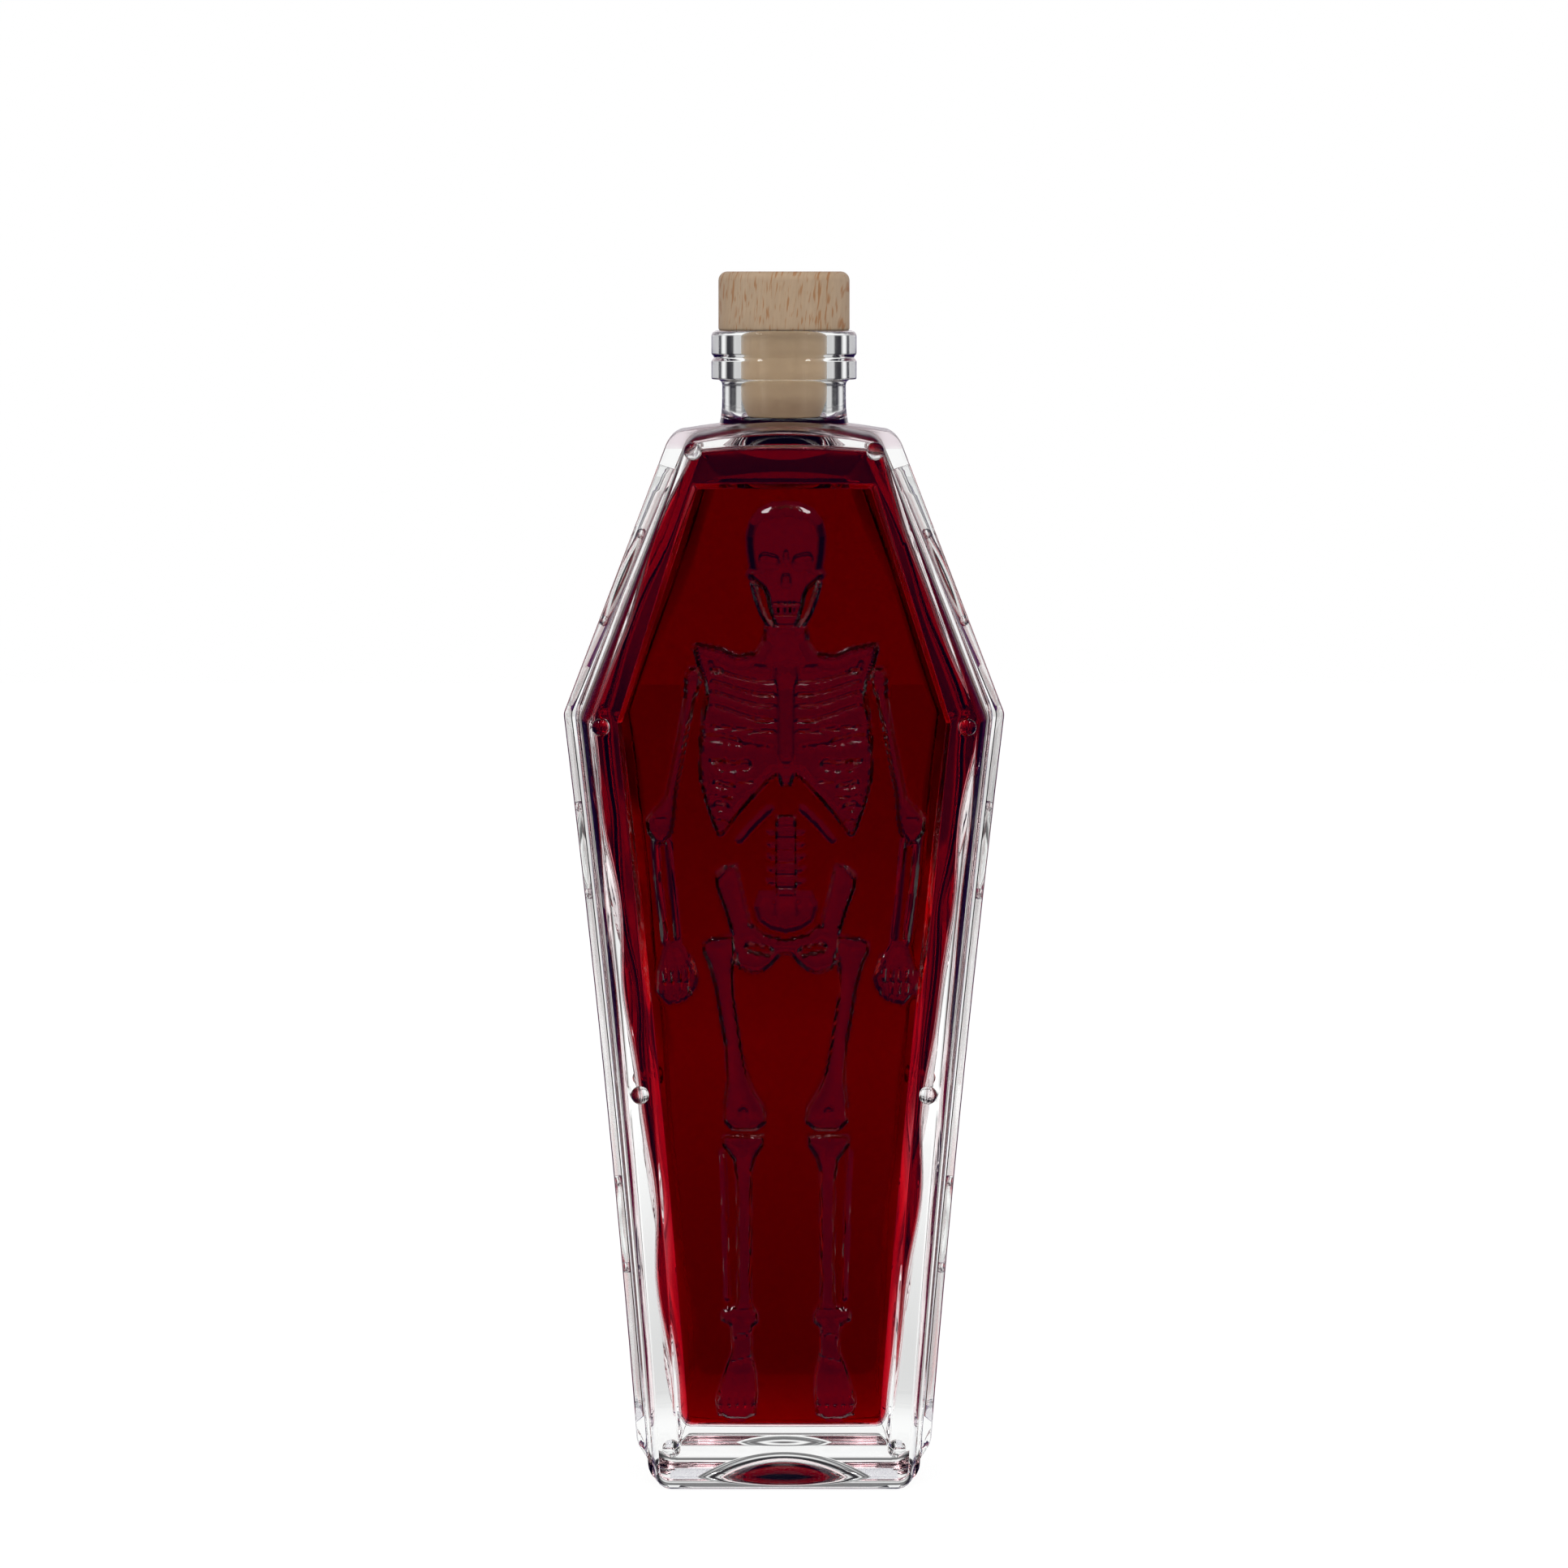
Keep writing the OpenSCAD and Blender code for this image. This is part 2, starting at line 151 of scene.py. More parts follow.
world = bpy.data.worlds.new("studio")
scene.world = world
world.use_nodes = True
tree = world.node_tree
tree.nodes.clear()
path = add(tree, "ShaderNodeLightPath")
place = add(tree, "ShaderNodeTexCoord")
axes = add(tree, "ShaderNodeSeparateXYZ", links={0: place.outputs["Generated"]})
high_up = add(tree, "ShaderNodeMapRange", {"From Min": 0.4, "From Max": 0.48},
              {"Value": axes.outputs["Z"]}, interpolation_type="SMOOTHSTEP")
low_wall = add(tree, "ShaderNodeMix", {"B": 0.9}, {
    "Factor": high_up.outputs["Result"], "A": azimuth_bands(tree, axes)}, data_type="FLOAT")
wall = add(tree, "ShaderNodeMath", links={
    0: low_wall.outputs["Result"], 1: banded(tree, axes.outputs["Z"], HEIGHT_BANDS, 1.0)},
    operation="MULTIPLY")
room = add(tree, "ShaderNodeMix", {"A": ROOM_GREY, "B": FILL_LIGHT}, {
    "Factor": path.outputs["Is Diffuse Ray"]}, data_type="FLOAT")
through = add(tree, "ShaderNodeMix", links={
    "Factor": path.outputs["Is Transmission Ray"], "A": room.outputs["Result"],
    "B": wall.outputs[0]}, data_type="FLOAT")
seen = add(tree, "ShaderNodeMix", {"B": 1.0}, {
    "Factor": path.outputs["Is Camera Ray"], "A": through.outputs["Result"]}, data_type="FLOAT")
bounced = add(tree, "ShaderNodeMath", {0: 1.0}, {1: path.outputs["Is Transmission Ray"]},
              operation="SUBTRACT")
mirrored_room = add(tree, "ShaderNodeMath", links={
    0: path.outputs["Is Glossy Ray"], 1: bounced.outputs[0]}, operation="MULTIPLY")
plain = add(tree, "ShaderNodeBackground", {"Color": (1, 1, 1, 1)},
            {"Strength": seen.outputs["Result"]})
behind = add(tree, "ShaderNodeMapRange", {"From Min": 0.75, "From Max": 0.95},
             {"Value": axes.outputs["Y"]}, interpolation_type="SMOOTHSTEP")
over = add(tree, "ShaderNodeMapRange", {"From Min": -0.02, "From Max": 0.06},
           {"Value": axes.outputs["Z"]}, interpolation_type="SMOOTHSTEP")
backdrop = add(tree, "ShaderNodeMath", links={
    0: behind.outputs["Result"], 1: over.outputs["Result"]}, operation="MULTIPLY")
room_tone = add(tree, "ShaderNodeMix", {"A": ROOM_COLOUR, "B": (0.85, 0.8, 0.85, 1)},
                {"Factor": backdrop.outputs[0]}, data_type="RGBA")
tinted = add(tree, "ShaderNodeBackground", {"Strength": 1.0},
             {"Color": room_tone.outputs["Result"]})
background = add(tree, "ShaderNodeMixShader", links={
    0: mirrored_room.outputs[0], 1: plain.outputs[0], 2: tinted.outputs[0]})
add(tree, "ShaderNodeOutputWorld", links={"Surface": background.outputs[0]})

# %% [markdown]
# Light passes six surfaces on its way through the filled bottle, and more where it is reflected
# inside a wall, so the renderer is allowed more bounces than it has by default.

# %% Bounces
scene.cycles.max_bounces = 32
scene.cycles.transmission_bounces = 32
scene.cycles.glossy_bounces = 16
scene.cycles.transparent_max_bounces = 16

# %% [markdown]
# Two tall soft lamps at the sides and one overhead light the wood and draw the few bright glints
# on the glass. They are out of the camera's sight.

# %% Lamps
def soft_lamp(name, place, size, watts):
    """A rectangular lamp at a place, turned to the middle of the bottle."""
    data = bpy.data.lights.new(name, "AREA")
    data.shape = "RECTANGLE"
    data.size, data.size_y = size
    data.energy = watts
    lamp = bpy.data.objects.new(name, data)
    lamp.location = place
    towards = Vector((0, 0, AIM_HEIGHT)) - lamp.location
    lamp.rotation_euler = towards.to_track_quat("-Z", "Y").to_euler()
    lamp.visible_camera = False
    scene.collection.objects.link(lamp)
    return lamp


soft_lamp("top_lamp", (0, -0.3, 1.1), (0.7, 0.35), 2.6).visible_glossy = False
for side, watts in ((-1, 2.2), (1, 1.7)):
    soft_lamp("side_lamp", (side * 0.9, -0.8, 0.4), (0.3, 0.7), watts).visible_glossy = False
    soft_lamp("glint_lamp", (side * 0.53, -0.29, 1.25), (0.14, 0.14), 0.7).visible_transmission = False

# %% [markdown]
# The floor is a wide pale sheet. To the camera it is white, as the ground of a product photograph is,
# with a faint share of real shading so that the bottle's shadow stays. Through the glass its brightness
# is painted. Far out it is painted shade in bands by azimuth. From a little way round the bottle it is
# painted shade in bands by how steeply the view arrives, with one painted brighter band among them. In
# mirror reflections the floor is painted as the dark violet room.

# %% The floor
FLOOR_HALF = 3.0
FLOOR_GLOW = 0.93
FLOOR_SHADED = 0.12
FLOOR_FAR = 1.2
# Painted shade through the glass, by how steeply the view arrives at the floor; one band is a painted
# brighter band.
FLOOR_PAINTED_BANDS = ((0.0, 1.0), (0.022, 1.0), (0.03, 0.62), (0.052, 0.72), (0.073, 0.78), (0.093, 0.95),
               (0.106, 1.17), (0.119, 0.97), (0.132, 0.8), (0.146, 0.68), (0.165, 0.74), (0.2, 1.0),
               (0.46, 1.0), (0.53, 0.1), (0.74, 0.1), (0.82, 1.0), (1.0, 1.0))

floor_mesh = bmesh.new()
bmesh.ops.create_grid(floor_mesh, x_segments=1, y_segments=1, size=FLOOR_HALF)
floor_data = bpy.data.meshes.new("floor")
floor_mesh.to_mesh(floor_data)
floor_mesh.free()
floor = bpy.data.objects.new("floor", floor_data)
scene.collection.objects.link(floor)

paper, tree = new_material("white_paper_sheet")
path = add(tree, "ShaderNodeLightPath")
matte = add(tree, "ShaderNodeBsdfDiffuse", {"Color": (0.8, 0.8, 0.8, 1)})
faint = add(tree, "ShaderNodeBsdfDiffuse", {"Color": (FLOOR_SHADED,) * 3 + (1,)})
spot = add(tree, "ShaderNodeTexCoord")
flat = add(tree, "ShaderNodeSeparateXYZ", links={0: spot.outputs["Object"]})
distance = add(tree, "ShaderNodeVectorMath", links={0: spot.outputs["Object"]}, operation="LENGTH")
far = add(tree, "ShaderNodeMapRange", {"From Min": FLOOR_FAR, "From Max": FLOOR_FAR + 0.3},
          {"Value": distance.outputs["Value"]}, interpolation_type="SMOOTHSTEP")
near = add(tree, "ShaderNodeMapRange", {"From Min": 0.08, "From Max": 0.14},
           {"Value": distance.outputs["Value"]}, interpolation_type="SMOOTHSTEP")
arriving = add(tree, "ShaderNodeNewGeometry")
steepness = add(tree, "ShaderNodeSeparateXYZ", links={0: arriving.outputs["Incoming"]})
# Painted shade: seen through the glass, the floor darkens in bands by azimuth far out and by steepness
# round the bottle.
by_azimuth = add(tree, "ShaderNodeMix", {"A": 1.0}, {
    "Factor": far.outputs["Result"], "B": azimuth_bands(tree, flat)}, data_type="FLOAT")
by_height = add(tree, "ShaderNodeMix", {"A": 1.0}, {
    "Factor": near.outputs["Result"],
    "B": banded(tree, steepness.outputs["Z"], FLOOR_PAINTED_BANDS, 1.0)}, data_type="FLOAT")
both = add(tree, "ShaderNodeMath", links={
    0: by_azimuth.outputs["Result"], 1: by_height.outputs["Result"]}, operation="MULTIPLY")
share = add(tree, "ShaderNodeMix", {"A": 1.0}, {
    "Factor": path.outputs["Is Transmission Ray"], "B": both.outputs[0]}, data_type="FLOAT")
strength = add(tree, "ShaderNodeMath", {1: FLOOR_GLOW}, {0: share.outputs["Result"]},
               operation="MULTIPLY")
glow = add(tree, "ShaderNodeEmission", {"Color": (1, 1, 1, 1)}, {"Strength": strength.outputs[0]})
lit = add(tree, "ShaderNodeAddShader", links={0: faint.outputs[0], 1: glow.outputs[0]})
real = add(tree, "ShaderNodeMixShader", links={
    0: path.outputs["Is Diffuse Ray"], 1: lit.outputs[0], 2: matte.outputs[0]})
# Painted reflection: in a mirror the floor shows as the dark violet room, not as itself.
dark = add(tree, "ShaderNodeEmission", {"Color": ROOM_COLOUR, "Strength": 1.0})
through = add(tree, "ShaderNodeMath", {0: 1.0}, {1: path.outputs["Is Transmission Ray"]},
              operation="SUBTRACT")
mirror = add(tree, "ShaderNodeMath", links={0: path.outputs["Is Glossy Ray"], 1: through.outputs[0]},
             operation="MULTIPLY")
mirrored_floor = add(tree, "ShaderNodeMixShader", links={
    0: mirror.outputs[0], 1: real.outputs[0], 2: dark.outputs[0]})
add(tree, "ShaderNodeOutputMaterial", links={"Surface": mirrored_floor.outputs[0]})
floor_data.materials.append(paper)

# %% [markdown]
# Soda-lime glass, pressed hot into an iron mould and fire polished, so its skin is smooth and wet
# looking. Where the liquid wets its inner face the reflection nearly vanishes, because glass and
# water bend light almost alike. That face gets its own material with most of its mirror taken away.

# %% Glass
GLASS_IOR = 1.52
LIQUID_IOR = 1.34
WETTED_MIRROR = 0.0
# Painted dim reflection: the flat floor of the front panel and the dry inside of the neck keep only this
# share of their mirror.
PAINTED_DIM_MIRROR = 0.1


def clear_material(name, colour, ior, mirror, absorbed=None, density=0.0, rough=0.0):
    """A see-through material. Its mirror is 1 for a plain surface and 0 for none at all."""
    material, tree = new_material(name)
    shader = add(tree, "ShaderNodeBsdfPrincipled", {
        "Base Color": linear(colour), "Roughness": rough, "IOR": ior, "Transmission Weight": 1.0,
        "Specular Tint": (mirror, mirror, mirror, 1)})
    output = add(tree, "ShaderNodeOutputMaterial", links={"Surface": shader.outputs[0]})
    if absorbed:
        volume = add(tree, "ShaderNodeVolumeAbsorption", {"Color": absorbed, "Density": density})
        tree.links.new(volume.outputs[0], output.inputs["Volume"])
    return material


dry_glass = clear_material("soda_lime_glass_fire_polished", "#fdfefd", GLASS_IOR, 1.0)
wet_glass = clear_material("soda_lime_glass_wetted", "#ffffff", GLASS_IOR, WETTED_MIRROR)
# A copy of the glass with its reflection painted dim, for the flat floor of the front panel and the dry
# inner wall above the liquid. On the panel this leaves the violet reflection of the room to the raised
# bones and frame.
painted_dim_glass = clear_material("soda_lime_glass_painted_dim_mirror", "#fdfefd", GLASS_IOR, PAINTED_DIM_MIRROR)
# A painted sheen: the top of the shoulder gets a pale pink tint and a little roughness, standing in for
# the pinkish-white light seen there.
painted_sheen_glass = clear_material("soda_lime_glass_shoulder_painted_sheen", "#f1e6eb", GLASS_IOR, 0.8, rough=0.2)
GLASSES = [dry_glass, wet_glass, painted_dim_glass, painted_sheen_glass]

# %% [markdown]
# The liquid is dyed water. A dye takes each colour away at its own rate, which a volume does and a
# painted surface can't: thin layers glow red, and the full depth of the bottle is almost black.

# %% Dyed water
DYE_PER_METRE = 600.0
DYE_COLOUR = (0.897, 0.0, 0.1, 1.0)
dyed_water = clear_material("dyed_water", "#ffffff", LIQUID_IOR, WETTED_MIRROR,
                            DYE_COLOUR, DYE_PER_METRE)
water_top = clear_material("dyed_water_surface", "#ffffff", LIQUID_IOR, 1.0,
                           DYE_COLOUR, DYE_PER_METRE)

# %% [markdown]
# The bottle's outlines. Every level of its depth has the same coffin shape in other sizes, so one
# function draws them all: a foot, a waist and a top corner, each half width and height, and the
# radii that round them. Every outline has as many points, in the same order, so that the loop of
# one level can be extruded straight to the next.

# %% Driving sizes of the body, in mm, read from the frame
height = glass_high[2] / MM
NECK_TALL = 21.0
shoulder = height - NECK_TALL
waist = 164.4 * shoulder / 224.0
STUD_R = 1.95
half_width = glass_high[0] / MM
front = glass_high[1] / MM - STUD_R
side_flat = front - 9.0
SIDE_BOW = 0.8
SHOULDER_RISE = 1.8
PANEL_DEEP = 1.6
FRAME_W = 5.6
PANEL_FOOT = 14.5
RIM_STEP = 2.1
RIM_W = 4.0
SHELF_W = 1.5

rim_line = ((30.9, 5.6), (half_width + 0.05, waist), (23.8, shoulder), (4.5, 3.0, 4.4))
core_line = ((28.5, 0.0), (half_width - RIM_STEP + 0.35, waist - 0.2), (19.8, shoulder),
             (4.5, 3.0, 4.4))
shelf_line = ((27.6, 0.0), (core_line[1][0] - SHELF_W, waist - 0.6), (19.8, shoulder),
              (4.5, 3.0, 4.4))
face_line = ((26.1, 3.0), (core_line[1][0] - 4.0, waist - 1.6), (20.3, shoulder - 2.6),
             (1.5, 2.0, 2.0))
panel_line = ((20.15, PANEL_FOOT), (face_line[1][0] - FRAME_W - 1.1, waist - 1.6),
              (18.2, shoulder - 12.0), (1.6, 1.0, 0.8))
bevel_line = ((22.45, PANEL_FOOT - 4.8), (panel_line[1][0] + 1.0, waist - 1.6),
              (19.1, shoulder - 10.8), (0.8, 1.0, 0.8))
print("front plane at", round(front, 2), "mm, shoulder at", round(shoulder, 1), "mm")

# %% Outlines
CORNER_STEPS = 6
WAIST_STEPS = 4
LOWER_STEPS = 110
UPPER_STEPS = 52
EDGE_STEPS = 50


def arc(before, corner, after, radius, steps):
    """Points that round a corner."""
    before, corner, after = (np.array(p, float) for p in (before, corner, after))
    u = (before - corner) / np.linalg.norm(before - corner)
    v = (after - corner) / np.linalg.norm(after - corner)
    half = math.acos(np.clip(u @ v, -1, 1)) / 2
    middle = corner + (u + v) / np.linalg.norm(u + v) * radius / math.sin(half)
    start = corner + u * radius / math.tan(half) - middle
    end = corner + v * radius / math.tan(half) - middle
    turns = [start * (steps - i) + end * i for i in range(steps + 1)]
    return np.array([middle + radius * t / np.linalg.norm(t) for t in turns])


def span(start, end, steps, bow_x=0.0, bow_z=0.0):
    """Points between two ends, without the ends, bowed in x or z."""
    t = np.arange(1, steps)[:, None] / steps
    return start + (end - start) * t + 4 * t * (1 - t) * np.array([[bow_x, bow_z]])


def mirrored(points):
    """The same points on the other side, in the opposite order."""
    return (np.asarray(points) * [-1, 1])[::-1]


def outline(line, rise=0.0, detail=1.0, sag=0.0):
    """A closed coffin outline: right side going up, top, left side going down, foot."""
    foot, mid, top, radii = line
    half = CORNER_STEPS // 2
    heel = arc((-foot[0], foot[1]), foot, mid, radii[0], CORNER_STEPS)
    hip = arc(foot, mid, top, radii[1], WAIST_STEPS)
    brow = arc(mid, top, (-top[0], top[1]), radii[2], CORNER_STEPS)
    lower = span(heel[-1], hip[0], round(LOWER_STEPS * detail), bow_x=-SIDE_BOW)
    upper = span(hip[-1], brow[0], round(UPPER_STEPS * detail))
    right = np.vstack([heel[half:], lower, hip, upper, brow[:half + 1]])
    across = round(EDGE_STEPS * detail)
    over = np.vstack([brow[half:], span(brow[-1], mirrored(brow[-1:])[0], across, bow_z=rise),
                      mirrored(brow[half:])])
    under = np.vstack([mirrored(heel[:half + 1]), span(mirrored(heel[:1])[0], heel[0], across, bow_z=-sag),
                       heel[:half + 1]])
    return np.vstack([right[:-1], over[:-1], mirrored(right)[:-1], under[:-1]])


def between(a, b, side, foot, top):
    """Part way from one line to another, with its own share for the sides, the foot and the top."""
    mix = lambda p, q, s: p + (q - p) * s
    return ((mix(a[0][0], b[0][0], side), mix(a[0][1], b[0][1], foot)),
            (mix(a[1][0], b[1][0], side), mix(a[1][1], b[1][1], side)),
            (mix(a[2][0], b[2][0], side), mix(a[2][1], b[2][1], top)),
            tuple(mix(p, q, side) for p, q in zip(a[3], b[3])))


def eased(y, start, finish):
    """How far a quarter ellipse has come in at depth y."""
    t = min(max((abs(y) - start) / (finish - start), 0.0), 1.0)
    return 1 - math.sqrt(1 - t * t)


# %% [markdown]
# The skeleton is a relief in the front panel. Separate bone meshes pushed into the glass would add
# surfaces inside it, and light would bend at each one. So the panel is one fine grid, and a height
# is worked out for each of its points. A plate is a flat outline with a rounded edge, a bone is a
# rounded bar between two places, and where they meet, the higher one wins.

# %% Relief helpers
EDGE = 0.9
TALLER = 1.5
TIGHTER = 0.85
MIDDLE = 0.4


def smooth(t):
    """A step from 0 to 1, steady in its middle and a little softer at its ends."""
    t = np.clip(t, 0, 1)
    return t - np.sin(2 * np.pi * t) / (4 * np.pi)


class Relief:
    """Heights in mm over the points of the front panel."""

    def __init__(self, x, z):
        self.x, self.z = x - MIDDLE, z
        self.h = np.zeros_like(x)

    def sides(self, both):
        return (self.x, -self.x) if both else (self.x,)

    def away(self, x, a, b):
        """How far points are from a line between two places, and how far along it they are."""
        run, rise = b[0] - a[0], b[1] - a[1]
        t = ((x - a[0]) * run + (self.z - a[1]) * rise) / max(run * run + rise * rise, 1e-9)
        t = np.clip(t, 0, 1)
        return np.hypot(x - a[0] - run * t, self.z - a[1] - rise * t), t

    def bar(self, x, a, b, ra, rb, high):
        """The height of one rounded bar."""
        gap, t = self.away(x, a, b)
        radius = ra + (rb - ra) * t
        dome = np.clip(1 - (gap / radius) ** 2, 0, 1)
        return high * (0.7 * smooth((radius - gap) / min(EDGE, ra)) + 0.3 * dome)

    def bone(self, a, b, ra, rb=None, high=1.0, both=True):
        """Raises a bar, on both sides of the middle unless told otherwise."""
        for x in self.sides(both):
            self.h = np.maximum(self.h, self.bar(x, a, b, ra, rb or ra, high))

    def chain(self, places, radius, high=1.0, both=True):
        """Raises bars from place to place."""
        for a, b in zip(places, places[1:]):
            self.bone(a, b, radius, None, high, both)

    def sink(self, a, b, radius, deep, both=True):
        """Presses a rounded hollow into what has been raised so far."""
        for x in self.sides(both):
            self.h = np.maximum(self.h - self.bar(x, a, b, radius, radius, deep), 0)

    def groove(self, places, radius, deep):
        """Presses hollows from place to place, each no deeper where two of them meet."""
        for x in self.sides(True):
            cut = np.zeros_like(self.h)
            for a, b in zip(places, places[1:]):
                cut = np.maximum(cut, self.bar(x, a, b, radius, radius, deep))
            self.h = np.maximum(self.h - cut, 0)

    def plate(self, corners, high, edge=EDGE, middle=False, add=False):
        """Raises a flat outline. One that reaches the middle is given as its right half."""
        if middle:
            corners = list(corners) + [(-x, z) for x, z in corners[::-1]]
        for x in self.sides(not middle):
            inside = np.zeros(x.shape, bool)
            gap = np.full(x.shape, 99.0)
            for a, b in zip(corners, corners[1:] + corners[:1]):
                gap = np.minimum(gap, self.away(x, a, b)[0])
                if a[1] != b[1]:
                    across = (b[0] - a[0]) * (self.z - a[1]) / (b[1] - a[1]) + a[0]
                    inside ^= ((a[1] > self.z) != (b[1] > self.z)) & (x < across)
            gap = np.where(inside, gap, 0)
            lift = high * (0.85 * smooth(gap / (edge * TIGHTER)) + 0.15 * smooth(gap / (3 * edge)))
            self.h = self.h + lift if add else np.maximum(self.h, lift)


# %% The skull
def raise_skull(relief):
    """Cranium, face and jaw, with temples, sockets, nose and teeth pressed in."""
    relief.plate([(0, 209.6), (3.2, 209.2), (6.0, 207.8), (8.0, 205.2), (8.7, 202.0), (8.5, 198.6),
                  (8.0, 195.4), (8.8, 193.8), (7.6, 192.4), (0, 192)], 1.0, 2.6, middle=True)
    relief.plate([(0, 208.9), (3.0, 208.4), (5.2, 207.0), (6.5, 204.8), (6.4, 202.0), (6.1, 199.0),
                  (6.0, 196.6), (7.0, 195.2), (8.2, 194.2), (7.2, 192.8), (4.9, 190.9), (4.2, 189.4),
                  (3.8, 187.0), (3.1, 184.6), (2.6, 183.2), (2.5, 180.8), (0, 180.5)],
                 1.05, 1.2, middle=True)
    relief.chain([(6.9, 192.2), (6.1, 189.0), (4.9, 185.9), (3.3, 183.2), (2.6, 181.4)], 0.75, 0.6)
    relief.sink((2.7, 196.8), (4.4, 197.2), 1.7, 0.36)
    relief.sink((0, 198.6), (0, 197.4), 0.8, 0.25, both=False)
    relief.sink((0.4, 193.6), (0.5, 192.2), 0.8, 0.3)
    relief.groove([(5.0, 190.6), (4.5, 187.8), (3.4, 185.0)], 0.6, 0.7)
    relief.sink((-2.6, 187.8), (2.6, 187.8), 0.45, 0.25, both=False)
    relief.sink((-2.3, 185.3), (2.3, 185.3), 0.45, 0.3, both=False)
    for tooth in (-1.7, -0.85, 0.0, 0.85, 1.7):
        relief.sink((tooth, 188.4), (tooth, 186.0), 0.25, 0.2, both=False)
    relief.sink((-1.8, 183.2), (1.8, 183.2), 0.45, 0.25, both=False)


# %% Neck, shoulders, ribs and spine
def raise_chest(relief):
    """The whole rib cage as one plate, with the gaps between the ribs pressed in."""
    relief.plate([(0, 184), (4.5, 183.4), (5.0, 180.0), (6.8, 177.2), (10.2, 176.8), (13.6, 178.4),
                  (18.9, 179.6), (19.7, 178.0), (18.7, 175.8), (17.4, 172.4), (16.7, 168.4),
                  (17.4, 164.0), (18.3, 158.0), (18.3, 151.0), (16.9, 145.6), (15.2, 140.6),
                  (13.9, 138.6), (12.9, 139.4), (10.0, 143.4), (4.4, 149.6), (2.7, 151.6),
                  (1.8, 151.4), (1.1, 149.4), (0, 149.2)], 0.85, 0.9, middle=True)
    relief.chain([(7.0, 177.0), (10.2, 176.4), (13.6, 178.0), (18.6, 179.0)], 0.75, 1.1)
    relief.chain([(18.7, 178.6), (18.2, 175.8), (17.0, 172.4)], 0.7, 1.05)
    relief.plate([(0, 175.6), (2.2, 175.2), (2.6, 172.4), (1.9, 170.0), (1.8, 156.0), (1.2, 154.4),
                  (0, 154.2)], 0.3, 0.6, middle=True, add=True)
    relief.chain([(2.4, 152.2), (4.4, 150.7), (10.0, 144.8), (13.2, 140.2)], 0.6, 1.15)
    relief.chain([(16.6, 168.4), (17.6, 160.0), (17.7, 151.6), (16.3, 146.0), (14.0, 139.8)], 0.6, 1.05)
    relief.groove([(15.8, 175.4), (15.2, 174.0), (13.8, 173.8)], 0.8, 0.35)
    relief.sink((4.4, 174.4), (6.4, 174.6), 0.8, 0.3)
    for low, rise in ((171.2, 2.6), (168.6, 2.8), (166.2, 3.0), (163.2, 3.2), (160.8, 1.2)):
        relief.groove([(2.6, low), (6.0, low + 0.1), (9.6, low + 0.35 * rise),
                       (13.0, low + 0.75 * rise), (15.4, low + rise)], 0.7, 0.42)
    relief.groove([(16.6, 159.6), (13.6, 159.4), (10.4, 158.6)], 1.25, 0.62)
    relief.groove([(9.6, 158.4), (3.4, 157.4)], 0.6, 0.3)
    relief.groove([(13.6, 153.8), (11.0, 153.4), (8.4, 153.8)], 1.45, 0.66)
    relief.groove([(15.6, 154.8), (13.4, 154.6)], 0.7, 0.5)
    relief.groove([(14.6, 150.0), (13.0, 149.3), (11.4, 149.2)], 1.05, 0.6)
    relief.groove([(10.4, 150.0), (7.0, 150.2)], 0.5, 0.3)
    relief.groove([(14.4, 145.2), (12.8, 144.9)], 1.2, 0.62)
    relief.groove([(15.8, 147.4), (11.0, 147.0)], 0.4, 0.3)
    relief.groove([(14.2, 142.2), (12.6, 142.0)], 0.5, 0.3)
    relief.chain([(3.4, 144.8), (6.4, 142.0), (9.8, 138.2)], 0.9, 0.45)


def raise_spine(relief):
    """Lumbar bones and sacrum."""
    relief.plate([(0, 143.6), (2.3, 143.2), (2.4, 126.2), (0, 125.8)], 0.75, 0.7, middle=True)
    for i in range(6):
        relief.sink((-2.2, 141.0 - 2.6 * i), (2.2, 141.0 - 2.6 * i), 0.5, 0.28, both=False)
        relief.bone((2.9, 139.6 - 2.6 * i), (3.8, 140.0 - 2.6 * i), 0.6, 0.45, 0.28)
    relief.plate([(0, 127.4), (5.6, 127.8), (7.0, 124.2), (6.0, 120.8), (3.4, 119.0), (0, 118.2)],
                 0.5, 1.6, middle=True)
    relief.sink((2.6, 124.8), (2.4, 121.6), 0.6, 0.2)


# %% Hips
def raise_hips(relief):
    """Wings of the hip bones, the ring below them and the seats."""
    relief.plate([(10.2, 133.4), (13.2, 132.8), (15.1, 131.0), (14.8, 128.6), (13.0, 123.8),
                  (11.8, 120.2), (11.7, 118.0), (10.0, 116.8), (7.8, 118.0), (7.2, 120.6),
                  (7.8, 123.4), (9.0, 128.0)], 0.7, 1.0)
    relief.chain([(12.6, 131.8), (14.2, 130.4), (13.9, 128.2), (12.2, 123.6), (11.1, 119.8)], 0.75, 0.95)
    relief.plate([(0, 117.2), (4.6, 118.4), (6.8, 120.4), (9.4, 119.6), (11.4, 117.8), (11.4, 112.6),
                  (9.8, 110.8), (6.8, 109.8), (4.8, 110.2), (2.8, 111.8), (1.2, 113.6),
                  (0, 114.0)], 0.9, 0.8, middle=True)
    relief.groove([(0, 117.9), (3.8, 118.5), (6.4, 120.4)], 0.5, 0.5)
    relief.groove([(7.6, 115.4), (5.6, 115.0), (3.7, 114.6)], 1.3, 0.9)
    relief.groove([(10.6, 114.4), (10.0, 111.2)], 0.35, 0.5)


